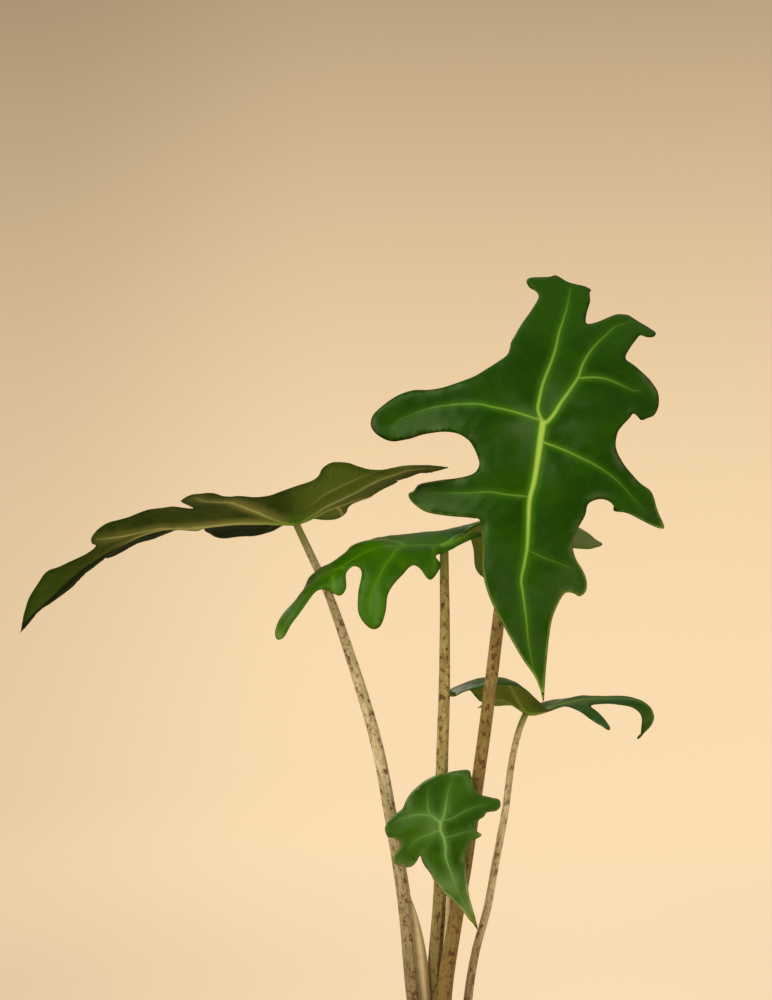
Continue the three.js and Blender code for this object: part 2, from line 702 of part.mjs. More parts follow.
// Grows a leaf's veins and triangulates its blade, with each point's place and normal in space.
function growBlade(leaf) {
  const junction = new THREE.Vector3(...leaf.junction);
  const veins = growVeins(leaf, junction);
  const pins = [new THREE.Vector2(0, 0)];
  const places = [junction];
  for (const vein of Object.values(veins)) {
    for (const share of PINS) {
      pins.push(vein.flat[Math.round(share * VEIN_STEPS)]);
      places.push(vein.places[Math.round(share * VEIN_STEPS)]);
    }
  }
  const map = bladeMap(pins, places, leaf.slack);
  const slope = (point, x, y) => {
    const step = new THREE.Vector2(x, y).multiplyScalar(BLADE.normalStep);
    return map(point.clone().add(step)).sub(map(point.clone().sub(step)));
  };
  const loop = smoothLoop(leaf.outline, BLADE.edgeStep);
  const { points, triangles } = triangulate(loop, innerPoints(loop, veins));
  const sheet = points.map((point) => {
    const normal = slope(point, 1, 0).cross(slope(point, 0, 1)).normalize();
    const { distance, rib } = nearestVein(veins, point);
    const swell = BLADE.bulge * (1 - Math.exp(-((distance / BLADE.bulgeReach) ** 2)));
    return { flat: point, place: map(point).addScaledVector(normal, swell), normal, rib };
  });
  return { sheet, triangles };
}

// Closed solid from a sheet: an upper face, a lower face with the same triangles, and a wall round the edge.
function thicken(sheet, triangles, above, below) {
  const count = sheet.length;
  const upper = sheet.map((spot) => spot.place.clone().addScaledVector(spot.normal, above(spot)));
  const lower = sheet.map((spot) => spot.place.clone().addScaledVector(spot.normal, -below(spot)));
  const faces = triangles.flatMap(([a, b, c]) => [[a, b, c], [a + count, c + count, b + count]]);
  const edges = triangles.flatMap(edgesOf);
  const known = new Set(edges.map(([from, to]) => `${from},${to}`));
  for (const [from, to] of edges) {
    if (!known.has(`${to},${from}`)) {
      faces.push([from, from + count, to + count], [from, to + count, to]);
    }
  }
  return meshGeometry([...upper, ...lower], faces);
}

function bladeSolid({ sheet, triangles }) {
  const half = BLADE.thickness / 2;
  return thicken(sheet, triangles, () => half, (spot) => half + spot.rib);
}

// A thick copy of the blade round its junction, which cuts the stalk to fit the underside.
function bladeSocket({ sheet, triangles }) {
  const half = BLADE.thickness / 2;
  const near = (k) => sheet[k].flat.length() < BLADE.socketReach;
  const patch = triangles.filter((corners) => corners.every(near));
  const used = [...new Set(patch.flat())];
  const renumbered = new Map(used.map((k, i) => [k, i]));
  const spots = used.map((k) => sheet[k]);
  const corners = patch.map((triangle) => triangle.map((k) => renumbered.get(k)));
  return solidOf(thicken(spots, corners, () => BLADE.socketDepth, (spot) => half + spot.rib + GAP));
}

function radiusAlong(radii, share) {
  const step = share * (radii.length - 1);
  const k = Math.min(Math.floor(step), radii.length - 2);
  return between([radii[k], radii[k + 1]], step - k);
}

function wingHeight(wing, share) {
  if (!wing || share <= wing.from || share >= wing.to) {
    return 0;
  }
  const along = (share - wing.from) / (wing.to - wing.from);
  return wing.height * Math.sin(Math.PI * along) ** STALK.wingCurve;
}

// Round tapering stalk along a smooth route, with its wing on the +X side.
function stalkSolid({ route, radii, wing }) {
  const { sides, step, overrun } = STALK;
  const stops = route.map((point) => new THREE.Vector3(...point));
  const [before, end] = stops.slice(-2);
  end.addScaledVector(end.clone().sub(before).normalize(), overrun);
  const curve = new THREE.CatmullRomCurve3(stops, false, "centripetal");
  const rings = Math.round(curve.getLength() / step);
  const points = [curve.getPointAt(0), curve.getPointAt(1)];
  const triangles = [];
  for (let i = 0; i <= rings; i += 1) {
    const share = i / rings;
    const tangent = curve.getTangentAt(share);
    const side = new THREE.Vector3(1, 0, 0).projectOnPlane(tangent).normalize();
    const back = tangent.clone().cross(side);
    for (let j = 0; j < sides; j += 1) {
      const angle = (j / sides) * 2 * Math.PI;
      const reach = radiusAlong(radii, share) + (j === 0 ? wingHeight(wing, share) : 0);
      const spoke = side.clone().multiplyScalar(Math.cos(angle)).addScaledVector(back, Math.sin(angle));
      points.push(curve.getPointAt(share).addScaledVector(spoke, reach));
    }
  }
  const corner = (ring, j) => 2 + ring * sides + (j % sides);
  for (let j = 0; j < sides; j += 1) {
    triangles.push([0, corner(0, j + 1), corner(0, j)], [1, corner(rings, j), corner(rings, j + 1)]);
    for (let ring = 0; ring < rings; ring += 1) {
      triangles.push([corner(ring, j), corner(ring, j + 1), corner(ring + 1, j + 1)]);
      triangles.push([corner(ring, j), corner(ring + 1, j + 1), corner(ring + 1, j)]);
    }
  }
  return solidOf(meshGeometry(points, triangles));
}

function node(name, geometry, colour) {
  const bare = geometry.toNonIndexed();
  bare.computeVertexNormals();
  const mesh = new THREE.Mesh(bare, new THREE.MeshStandardMaterial({ color: colour, roughness: 0.6 }));
  mesh.name = name;
  return mesh;
}

const plant = new THREE.Group();
plant.name = "potted_alocasia";
plant.add(node("pot", makePot(), COLOURS.clay));
plant.add(node("soil", makeSoil(), COLOURS.soil));
plant.add(node("crown", geometryOf(crownShape(0)), COLOURS.crown));
for (const [name, leaf] of Object.entries(LEAVES)) {
  const blade = growBlade(leaf);
  const stalk = stalkSolid(leaf.stalk).subtract(bladeSocket(blade)).subtract(crownShape(GAP));
  plant.add(node(`stalk_${name}`, geometryOf(stalk), COLOURS.stalk));
  plant.add(node(`blade_${name}`, bladeSolid(blade), COLOURS.blade));
}

export default plant;
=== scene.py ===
"""Looks of the potted alocasia: finer blades, stalks, crown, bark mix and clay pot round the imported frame.

Blades, stalks and the turned shapes are worked out in millimetres, as the frame's own sizes are, and become
metres when a mesh is made. Front is -Y and +Z is up.
"""

import math
import random

import bpy
import numpy as np
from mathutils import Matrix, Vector, noise
from mathutils.geometry import delaunay_2d_cdt


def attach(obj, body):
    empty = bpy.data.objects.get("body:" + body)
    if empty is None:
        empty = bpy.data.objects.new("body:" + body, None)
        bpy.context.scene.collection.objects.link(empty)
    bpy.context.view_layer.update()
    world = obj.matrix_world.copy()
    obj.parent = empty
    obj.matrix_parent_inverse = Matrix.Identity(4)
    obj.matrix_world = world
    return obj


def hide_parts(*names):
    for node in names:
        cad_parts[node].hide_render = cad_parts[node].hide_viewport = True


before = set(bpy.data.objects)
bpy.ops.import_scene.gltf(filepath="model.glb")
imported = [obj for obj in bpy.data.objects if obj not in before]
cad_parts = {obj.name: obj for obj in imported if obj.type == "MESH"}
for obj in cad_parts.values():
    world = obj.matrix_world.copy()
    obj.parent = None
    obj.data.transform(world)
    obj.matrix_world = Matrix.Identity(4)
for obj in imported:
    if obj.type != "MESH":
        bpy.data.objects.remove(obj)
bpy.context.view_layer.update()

MM = 0.001
SEED = 27

# The photo's frame, its scale in the plane of the pot's axis, and where it was taken from.
IMAGE_HEIGHT = 1000
PIXEL = 0.63 * MM
CAMERA_PLACE = (-0.0372, -1.8, 0.5)
SENSOR = 36

# Clay pot, in millimetres. The wall leans out by its taper. Dents and rings are its throwing marks.
POT = {
    "height": 140,
    "base_radius": 56,
    "taper": 0.132,
    "wall": 6,
    "floor": 8,
    "floor_bevel": 5,
    "rim_height": 26,
    "rim_step": 4.5,
    "rim_radius": 80,
    "bevel": 1.6,
    "rim_bevel": 3,
    "drain_count": 3,
    "drain_radius": 6,
    "drain_circle": 28,
    "groove_depth": 2.5,
    "groove_width": 6,
    "sides": 144,
    "dent": 0.16,
    "dent_height": 9,
    "ring": 0.05,
    "ring_turns": 1.9,
}

# Bark mix, in millimetres: a heap with crumbs (height and width), and what lies on it, each with its sizes.
SOIL = {
    "surface": 125,
    "unevenness": 1.6,
    "crumbs": ((1.1, 5), (0.7, 2.2)),
    "hollow": 3,
    "shoulder": 6,
    "slack": 0.8,
    "crumb_fade": 3,
    "crown_gap": 3,
    "wall_gap": 7,
    "rings": 46,
    "sides": 150,
    "chips": 210,
    "chip_length": (7, 16),
    "chip_width": (4, 9),
    "chip_thickness": (1.6, 3.4),
    "grains": 520,
    "grain_size": (1.2, 2.8),
    "pearls": 70,
    "pearl_size": (1.6, 3.2),
}

# Root stock, in millimetres. The profile holds shares of the radius and heights above its foot.
CROWN = {
    "radius": 17,
    "foot": 86,
    "top": 53,
    "sides": 96,
    "dent": 0.7,
    "scar": 0.35,
    "scar_turns": 1.15,
    "profile": [(0.55, 0), (0.9, 8), (1.02, 24), (0.96, 39), (1.06, 44), (1, 49), (0.8, 52)],
}

# Every blade, in millimetres: how fine its sheet is, its ribs and veins from base to tip, its rolled
# margin, its side nerves, and its relief, where a pair holds a height and the length over which it changes.
BLADE = {
    "half": 0.4,
    "cell": 2.3,
    "cell_room": 0.62,
    "edge_step": 1.7,
    "vein_step": 1.4,
    "vein_room": 0.5,
    "flank_room": 0.6,
    "apron": 1.5,
    "apron_room": 1.0,
    "bulge": 2.2,
    "bulge_reach": 13,
    "rib_base": 1.9,
    "rib_tip": 0.5,
    "side_rib": 0.55,
    "rib_reach": 2.2,
    "vein_width": (2.4, 1.7, 1.0, 0.35),
    "vein_pale": (1, 0.9, 0.7, 0.25),
    "side_vein": 0.42,
    "full_vein": 90,
    "line_step": 1.5,
    "clear": 5,
    "roll": 0.7,
    "roll_reach": 3.6,
    "roll_level": 0.75,
    "nerve_gap": 11,
    "nerve_slant": 0.75,
    "full_length": 200,
    "fold": (0.9, 30),
    "crease": (0.25, 8),
    "wave": (1.5, 16),
    "wave_reach": 8,
    "roll_change": (0.6, 30),
    "quilt": 0.12,
    "quilt_inset": (6, 8),
    "channel": 0.30,
    "channel_reach": 1.3,
    "crest": 0.25,
    "crest_reach": 1.5,
    "rim_half": 0.25,
    "rim_reach": 1.6,
}

# Every stalk, in millimetres and radians: its ridges, the folded lip of the sheath, the sheath's thin wing,
# and the socket in which it ends under the blade.
STALK = {
    "sides": 40,
    "step": 3,
    "overrun": 0.5,
    "ridges": 7,
    "ridge": 0.012,
    "lip": 0.9,
    "lip_top": 0.42,
    "lip_fade": 0.1,
    "lip_radius": 5,
    "lip_place": 0.9,
    "lip_split": 0.28,
    "lip_spread": 0.13,
    "wing_curve": 0.8,
    "wing_spread": 0.16,
    "wing_pale_spread": 0.4,
    "socket": 20,
    "socket_depth": 14,
}

# Steps in which a vein grows, those that pin the blade in space, and steps between two stops of a curve.
VEIN_STEPS = 24
PINS = (8, 16, 24)
PATH_STEPS = 40
LOOP_STEPS = 16

# Each leaf: the junction of stalk and blade, the blade's pose (heading, pitch, roll), its veins, the lines
# in which they show, its outline on the flat blade as (s, t), and the stalk's route and radii, all in
# millimetres and degrees. A vein leaves the middle one unless "on" names another, "at" millimetres along.
# Over its length it sweeps sideways and bends down, sooner or later by the exponents coil and droop. Widths
# and paleness are spread evenly along a line.
LEAVES = {
    "upper": {
        "junction": (60.6, -20, 548),
        "pose": (-90, -68, 0),
        "slack": 2,
        "veins": {
            "mid": dict(heading=-11, length=181, sweep=31, rise=-4, bend=18, coil=1.8, main=True),
            "back_left": dict(heading=189, length=108, sweep=-18, bend=26, main=True),
            "back_right": dict(heading=158, length=108, sweep=-30, bend=26, main=True),
            "back_fork": dict(on="back_right", at=44, heading=-54, length=52, sweep=-26, bend=12),
            "left_wide": dict(heading=-110, length=98, sweep=42, rise=3, bend=22),
            "right_wide": dict(at=12, heading=85, length=87, sweep=-34, rise=6, bend=22),
            "left_low": dict(at=49, heading=-87, length=70, sweep=2, rise=3, bend=30),
            "right_low": dict(at=81, heading=72, length=40, sweep=-8, rise=4, bend=20),
        },
        "lines": {
            "mid": dict(width=(2.4, 1.5, 0.7, 0.25), pale=(1, 1, 0.7, 0.1), stops=[
                (0, 0), (6, -1), (20, -3), (38, -6), (50, -9), (64, -10), (79, -11), (90, -13), (100, -15),
                (108, -14), (116, -13), (124, -12), (137, -11), (154, -8), (170, -3),
            ]),
            "back_left": dict(width=(1.3, 1.0, 0.7, 0.4), pale=(0.85, 0.7, 0.6, 0.2), stops=[
                (0, 0), (-9, -3), (-16, -2), (-25, 0), (-34, 3), (-42, 6), (-52, 9), (-66, 12), (-76, 15),
                (-88, 18), (-94, 19), (-104, 21),
            ]),
            "back_right": dict(width=(1.5, 1.0, 0.6, 0.3), pale=(1, 0.75, 0.45, 0.12), stops=[
                (1, 0), (-1, 3), (-6, 7), (-13, 11), (-22, 17), (-32, 23), (-41, 26), (-49, 30), (-58, 36),
                (-65, 42), (-72, 48), (-77, 56), (-81, 62),
            ]),
            "back_fork": dict(width=(0.7, 0.5, 0.4, 0.3), pale=(0.8, 0.75, 0.5, 0.1), stops=[
                (-31, 24), (-32, 31), (-32, 37), (-31, 43), (-28, 50), (-25, 58), (-26, 65),
            ]),
            "left_wide": dict(width=(0.7, 0.5, 0.4, 0.3), pale=(0.9, 0.8, 0.45, 0.1), stops=[
                (-2, -2), (-6, -13), (-9, -23), (-11, -32), (-13, -39), (-14, -56), (-13, -71), (-10, -84),
                (-6, -95),
            ]),
            "right_wide": dict(width=(0.7, 0.5, 0.4, 0.3), pale=(0.85, 0.75, 0.4, 0.1), stops=[
                (13, 0), (18, 12), (22, 20), (27, 30), (33, 40), (40, 48), (48, 55), (56, 63),
            ]),
            "left_low": dict(width=(0.5, 0.4, 0.35, 0.25), pale=(0.7, 0.55, 0.35, 0.1), stops=[
                (48, -9), (46, -24), (44, -35), (44, -45), (43, -59), (41, -73),
            ]),
            "right_low": dict(width=(0.4, 0.35, 0.3, 0.2), pale=(0.35, 0.35, 0.3, 0.1), stops=[
                (81, -11), (86, -1), (90, 10), (94, 20),
            ]),
        },
        "outline": [
            (-73, 30), (-80, 30), (-88, 32), (-92, 33), (-99, 33), (-102, 34), (-106, 29), (-108, 24),
            (-110, 19), (-113, 14), (-114, 11), (-112, 7), (-111, 1), (-110, -5), (-108, -8), (-105, -8),
            (-101, -6), (-99, -3), (-96, -1), (-92, -1), (-87, -3), (-79, -7), (-70, -12), (-62, -16),
            (-56, -19), (-51, -20), (-46, -22), (-41, -28), (-37, -34), (-31, -44), (-26, -62), (-25, -71),
            (-26, -82), (-23, -93), (-16, -104), (-11, -109), (-5, -110), (1, -106), (6, -97), (6, -86),
            (4, -75), (4, -62), (6, -53), (10, -47), (14, -44), (21, -41), (27, -40), (32, -44), (34, -54),
            (34, -69), (35, -80), (39, -84), (40, -87), (43, -87), (47, -84), (52, -78), (55, -71),
            (58, -58), (60, -45), (62, -40), (74, -39), (92, -39), (104, -37), (117, -32), (134, -23),
            (148, -15), (158, -8), (167, -4), (175, -2), (165, -1), (153, 0), (136, 2), (124, 4), (114, 8),
            (108, 12), (108, 17), (110, 21), (107, 25), (101, 26), (94, 24), (86, 19), (77, 17), (69, 20),
            (60, 25), (53, 27), (50, 34), (51, 40), (54, 43), (57, 43), (58, 51), (62, 60), (66, 69),
            (67, 74), (65, 75), (55, 71), (44, 67), (38, 59), (26, 50), (16, 45), (7, 46), (2, 49),
            (-4, 54), (-8, 57), (-6, 60), (-4, 62), (-6, 66), (-9, 71), (-15, 74), (-22, 75), (-28, 74),
            (-34, 70), (-39, 64), (-44, 58), (-48, 54), (-55, 57), (-63, 62), (-67, 65), (-66, 69),
            (-67, 74), (-71, 76), (-74, 73), (-79, 67), (-83, 62), (-85, 58), (-84, 51), (-80, 44),
            (-76, 37),
        ],
        "route": [
            (-1, -6, 137), (-1, -8, 186), (7, -10, 241), (13, -11, 275), (22, -13, 337), (27, -15, 375),
            (33, -17, 425), (39, -17, 475), (50, -13, 521), (60.6, -20, 548),
        ],
        "radii": (5.5, 4.1, 3.9, 3.1),
    },
    "left": {
        "junction": (-94.7, 10, 486.1),
        "pose": (180, -1, 19),
        "slack": 2,
        "veins": {
            "mid": dict(heading=0, length=196, sweep=-3, bend=57, droop=1.9, main=True),
            "back_near": dict(heading=146, length=108, sweep=20, rise=18, bend=14, main=True),
            "back_near_fork": dict(on="back_near", at=34, heading=-52, length=60, sweep=-20, rise=3),
            "back_far": dict(heading=-145, length=80, sweep=-10, rise=30, bend=8, main=True),
            "back_far_fork": dict(on="back_far", at=34, heading=46, length=44, sweep=20, rise=-6, bend=24),
            "near_wide": dict(at=6, heading=64, length=95, sweep=-10, rise=1, bend=16),
            "near_low": dict(at=62, heading=50, length=78, sweep=-20, rise=6, bend=14),
            "far_wide": dict(at=4, heading=-80, length=80, sweep=12, rise=26, bend=28),
            "far_low": dict(at=62, heading=-52, length=62, sweep=10, rise=22, bend=26),
        },
        "lines": {
            "mid": dict(width=(1.8, 1.8, 0.8, 0.3), pale=(1, 1, 0.35, 0.1), stops=[
                (0, 0), (6, 4), (16, 7), (28, 9), (44, 11), (56, 9), (68, 4), (80, 1), (100, -3), (125, -8),
                (150, -10), (175, -8), (192, -10),
            ]),
            "back_near": dict(width=(1.2, 0.9, 0.6, 0.3), pale=(1, 0.9, 0.7, 0.3), stops=[
                (0, 1), (-4, 4), (-11, 9), (-20, 15), (-33, 20), (-42, 24), (-48, 30), (-56, 38), (-65, 44),
                (-74, 49), (-90, 50),
            ]),
            "back_near_fork": dict(width=(0.4, 0.5, 0.4, 0.2), pale=(0.05, 0.45, 0.4, 0.1), stops=[
                (-8, 20), (-15, 26), (-20, 30), (-29, 33), (-38, 37), (-47, 43), (-56, 49),
            ]),
            "near_wide": dict(width=(0.9, 0.7, 0.5, 0.3), pale=(1, 0.9, 0.8, 0.3), stops=[
                (4, 4), (11, 11), (20, 23), (28, 37), (36, 53), (45, 68), (53, 79), (58, 90),
            ]),
            "near_low": dict(width=(0.8, 0.7, 0.6, 0.3), pale=(0.4, 0.75, 0.7, 0.3), stops=[
                (62, 6), (74, 3), (86, 4), (98, 5), (107, 8), (114, 12), (121, 17), (126, 22),
            ]),
        },
        "outline": [
            (-59, 0), (-64, 13), (-68, 22), (-75, 28), (-82, 34), (-89, 38), (-88, 43), (-93, 44),
            (-99, 43), (-94, 52), (-87, 55), (-78, 55), (-69, 53), (-58, 50), (-49, 50), (-42, 53),
            (-38, 56), (-31, 59), (-26, 60), (-21, 56), (-18, 49), (-12, 46), (-4, 46), (6, 46), (16, 48),
            (27, 57), (40, 75), (48, 89), (57, 97), (64, 94), (67, 84), (67, 68), (64, 52), (62, 42),
            (69, 45), (76, 47), (84, 41), (92, 34), (101, 31), (109, 30), (118, 31), (125, 29), (129, 25),
            (129, 19), (127, 14), (132, 11), (140, 12), (152, 18), (161, 23), (168, 22), (176, 18),
            (183, 12), (188, 4), (193, -9), (196, -20), (188, -15), (177, -10), (161, -16), (147, -24),
            (134, -20), (124, -28), (124, -38), (114, -46), (98, -42), (82, -36), (68, -38), (62, -48),
            (60, -64), (52, -78), (38, -82), (22, -70), (14, -60), (7, -51), (0, -46), (-8, -44),
            (-16, -46), (-24, -48), (-30, -47), (-35, -42), (-37, -36), (-43, -34), (-50, -33), (-58, -32),
            (-66, -31), (-72, -26), (-70, -18), (-64, -9),
        ],
        "route": [
            (-11.5, -0.5, 137), (-19.5, 0, 185), (-25.8, 0, 248), (-34.5, 0, 302), (-43.5, 2, 347.5),
            (-61, 5, 405), (-75, 8, 444), (-85.2, 9, 466), (-94.7, 10, 486.1),
        ],
        "radii": (5, 4.3, 3.6, 2.2),
        "wing": {"from": 0.05, "to": 0.31, "height": 6.5},
    },
    "drooping": {
        "junction": (-0.8, -8, 472.4),
        "pose": (200, 20, -12),
        "slack": 2,
        "veins": {
            "mid": dict(heading=5, length=136, sweep=-2, bend=90, droop=0.8, main=True),
            "near_wide": dict(at=26, heading=42, length=62, sweep=14, rise=-18, bend=46),
            "near_base": dict(at=8, heading=88, length=24, rise=-27, bend=40),
            "near_low": dict(at=78, heading=60, length=24, rise=-24, bend=30),
            "far_wide": dict(at=26, heading=-64, length=58, bend=36),
            "far_low": dict(at=70, heading=-50, length=30, rise=-6, bend=14),
            "back_near": dict(heading=174, length=96, sweep=-6, rise=48, bend=48, main=True),
            "back_far": dict(heading=-162, length=74, sweep=-8, rise=53, bend=44, main=True),
            "back_far_drop": dict(on="back_far", at=40, heading=50, length=58, rise=-36, bend=56),
        },
        "lines": {
            "mid": dict(width=(0.9, 0.7, 0.5, 0.3), pale=(0.6, 0.5, 0.5, 0.3), stops=[
                (0, 0), (14, 1), (28, 2), (42, 3), (56, 3), (70, 3), (84, 1), (98, 0), (112, -1), (126, -2),
            ]),
            "near_wide": dict(width=(0.7, 0.6, 0.5, 0.3), pale=(0.75, 0.65, 0.6, 0.2), stops=[
                (26, 2), (33, 7), (39, 14), (45, 19), (51, 25), (58, 31), (64, 36), (68, 43),
            ]),
        },
        "outline": [
            (-14, -3), (-26, 1), (-38, 3), (-50, 3), (-62, 0), (-76, -8), (-90, -12), (-98, -7), (-103, 3),
            (-105, 12), (-101, 19), (-93, 26), (-84, 28), (-74, 27), (-62, 26), (-50, 20), (-38, 15),
            (-30, 10), (-22, 6), (-13, 6), (-3, 9), (6, 12), (2, 20), (9, 29), (18, 22), (25, 21), (34, 28),
            (43, 34), (50, 40), (55, 49), (63, 56), (71, 55), (76, 48), (77, 39), (71, 29), (62, 18),
            (64, 10), (70, 11), (76, 20), (83, 21), (87, 13), (92, 9), (101, 7), (111, 7), (119, 7),
            (126, 8), (130, 5), (132, -1), (129, -8), (121, -12), (112, -12), (104, -12), (99, -15),
            (95, -23), (88, -29), (80, -25), (73, -16), (62, -15), (56, -24), (54, -40), (47, -54),
            (38, -54), (30, -42), (20, -30), (6, -25), (-10, -26), (-24, -34), (-34, -50), (-42, -68),
            (-53, -74), (-60, -64), (-60, -48), (-64, -38), (-74, -36), (-80, -28), (-72, -17), (-54, -10),
            (-34, -7), (-22, -6),
        ],
        "route": [
            (-5, 8, 137), (-7.5, 6, 184), (-3.1, 4, 254), (-1.9, 0, 336), (-0.7, -2, 374), (-0.3, -5, 424),
            (-0.6, -7, 452), (-0.8, -8, 472.4),
        ],
        "radii": (5, 4.2, 3.8, 2.7),
    },
    "hooked": {
        "junction": (53.2, 32, 364.7),
        "pose": (-6, 8, 10),
        "slack": 1,
        "veins": {
            "mid": dict(heading=0, length=120, sweep=6, rise=4, bend=222, droop=4, main=True),
            "near_hook": dict(at=86, heading=-70, length=13, rise=-90),
            "far_hook": dict(at=86, heading=70, length=16, rise=-11),
            "near_low": dict(at=8, heading=-50, length=58, sweep=14, rise=5, bend=32),
            "far_low": dict(at=10, heading=50, length=50, sweep=-6, rise=2, bend=24),
            "back_near": dict(heading=-152, length=66, sweep=8, rise=93, bend=124, main=True),
            "back_far": dict(heading=158, length=36, sweep=6, rise=50, bend=64, main=True),
        },
        "outline": [
            (-33, 10), (-38, 5), (-44, -1), (-49, 3), (-53, 5), (-58, 1), (-60, -8), (-59, -22), (-56, -34),
            (-44, -43), (-28, -42), (-12, -34), (2, -24), (12, -14), (21, -9), (30, -13), (39, -26),
            (47, -39), (54, -41), (54, -34), (47, -22), (42, -12), (50, -9), (64, -8), (80, -8), (96, -7),
            (104, -6), (111, -2), (113, 3), (108, 6), (100, 7), (92, 8), (84, 8), (74, 8), (64, 8),
            (44, 10), (36, 18), (38, 28), (40, 40), (34, 44), (24, 37), (10, 27), (-4, 23), (-16, 28),
            (-27, 31), (-33, 30), (-31, 22), (-29, 16),
        ],
        "route": [
            (12, 6, 137), (14.7, 11, 183), (19.4, 14, 212), (27.1, 17, 240), (32.6, 20, 269),
            (38.8, 24, 301), (43.5, 28, 334), (48.6, 31, 354), (53.2, 32, 364.7),
        ],
        "radii": (3.2, 2.6, 2.4, 2),
    },
    "front": {
        "junction": (-3.6, -40, 300.4),
        "pose": (-90, -66, 0),
        "slack": 1,
        "veins": {
            "mid": dict(heading=6, length=70, sweep=26, rise=-4, bend=19, main=True),
            "back_left": dict(heading=211, length=30, sweep=-40, bend=26, main=True),
            "back_right": dict(heading=160, length=36, sweep=-2, bend=26, main=True),
            "left_wide": dict(heading=-128, length=36, sweep=50, rise=3, bend=36),
            "right_wide": dict(heading=114, length=40, sweep=-14, rise=4, bend=22),
            "left_low": dict(at=8, heading=-100, length=38, sweep=56, bend=42),
            "right_low": dict(at=10, heading=90, length=24, sweep=-12, rise=4, bend=17),
        },
        "lines": {
            "mid": dict(width=(1.0, 0.8, 0.5, 0.25), pale=(0.9, 0.7, 0.3, 0.08), stops=[
                (-1, 0), (4, 0), (9, 2), (14, 3), (20, 3), (24, 4), (29, 6), (38, 9), (48, 14), (58, 20),
            ]),
            "back_left": dict(width=(0.9, 0.6, 0.4, 0.2), pale=(0.7, 0.4, 0.25, 0.08), stops=[
                (-1, 0), (-4, -4), (-7, -7), (-12, -8), (-18, -8), (-23, -8), (-28, -7),
            ]),
            "back_right": dict(width=(0.9, 0.7, 0.5, 0.2), pale=(0.7, 0.5, 0.3, 0.08), stops=[
                (-1, 0), (-5, 2), (-10, 3), (-16, 4), (-22, 5), (-28, 7), (-33, 8),
            ]),
            "left_wide": dict(width=(0.6, 0.5, 0.35, 0.2), pale=(0.65, 0.4, 0.25, 0.08), stops=[
                (-5, -5), (-6, -10), (-6, -16), (-5, -21), (-4, -26), (-2, -32),
            ]),
            "right_wide": dict(width=(0.5, 0.4, 0.3, 0.2), pale=(0.45, 0.35, 0.25, 0.1), stops=[
                (-2, 2), (-4, 8), (-7, 13), (-10, 19), (-12, 24), (-14, 31),
            ]),
            "left_low": dict(width=(0.5, 0.4, 0.3, 0.2), pale=(0.6, 0.45, 0.3, 0.1), stops=[
                (4, 0), (5, -4), (7, -8), (8, -12), (11, -17), (16, -22),
            ]),
            "right_low": dict(width=(0.5, 0.4, 0.3, 0.2), pale=(0.45, 0.35, 0.25, 0.1), stops=[
                (9, 2), (7, 9), (5, 15), (5, 20), (7, 23),
            ]),
        },
        "outline": [
            (-33, 20), (-28, 21), (-24, 22), (-20, 24), (-19, 28), (-18, 33), (-17, 37), (-14, 38),
            (-11, 37), (-9, 34), (-8, 29), (-5, 27), (-3, 24), (0, 22), (3, 22), (5, 24), (6, 26), (8, 24),
            (10, 20), (13, 18), (18, 16), (25, 16), (31, 16), (38, 17), (45, 18), (52, 20), (59, 22),
            (65, 23), (61, 20), (58, 17), (54, 14), (50, 10), (46, 6), (43, 2), (38, -2), (34, -5),
            (30, -7), (26, -10), (22, -12), (19, -13), (22, -15), (25, -18), (26, -22), (25, -27),
            (23, -31), (20, -32), (17, -30), (13, -26), (10, -25), (9, -26), (7, -30), (6, -34), (2, -36),
            (-1, -36), (-4, -34), (-8, -29), (-11, -24), (-15, -22), (-21, -19), (-26, -15), (-30, -11),
            (-33, -6), (-35, 0), (-37, 7), (-38, 14), (-37, 19),
        ],
        "route": [
            (6, 1, 137), (0.2, 1.5, 185), (3.1, -3, 248), (3.8, -11, 266), (1, -26, 284),
            (-3.6, -40, 300.4),
        ],
        "radii": (3, 2.5, 2.2, 1.7),
    },
}

# The floor's flat part, the radius of its wall and the wall's height, in metres, its colour and its painted
# glow, and the painted shade by which it darkens towards the sides: along x or y, from a place to a place,
# down to a share.
STAGE = {
    "flat": 2.6,
    "wall": 4.6,
    "height": 3.2,
    "sides": 128,
    "curve_steps": 24,
    "colour": (1.0, 0.802, 0.538),
    "painted_glow": 0.46,
    "painted_shade_fades": (("X", -0.1, -0.85, 0.82), ("Y", -1.2, -3.0, 0.72), ("X", 1.0, 2.2, 0.7)),
}

# Each light's place and size in metres, its power in watts and its colour; then the light from all round.
LIGHTS = {
    "key": ((-1.5, -1.3, 1.9), 1.3, 48, (1, 0.965, 0.91)),
    "fill": ((1.8, -1.5, 1.0), 1.6, 17, (1, 0.93, 0.85)),
    "back": ((-0.9, 1.3, 1.5), 0.9, 14, (1, 0.95, 0.88)),
}
LIT_PLACE = (0, 0, 0.4)
WORLD = ((1, 0.94, 0.86, 1), 0.52)
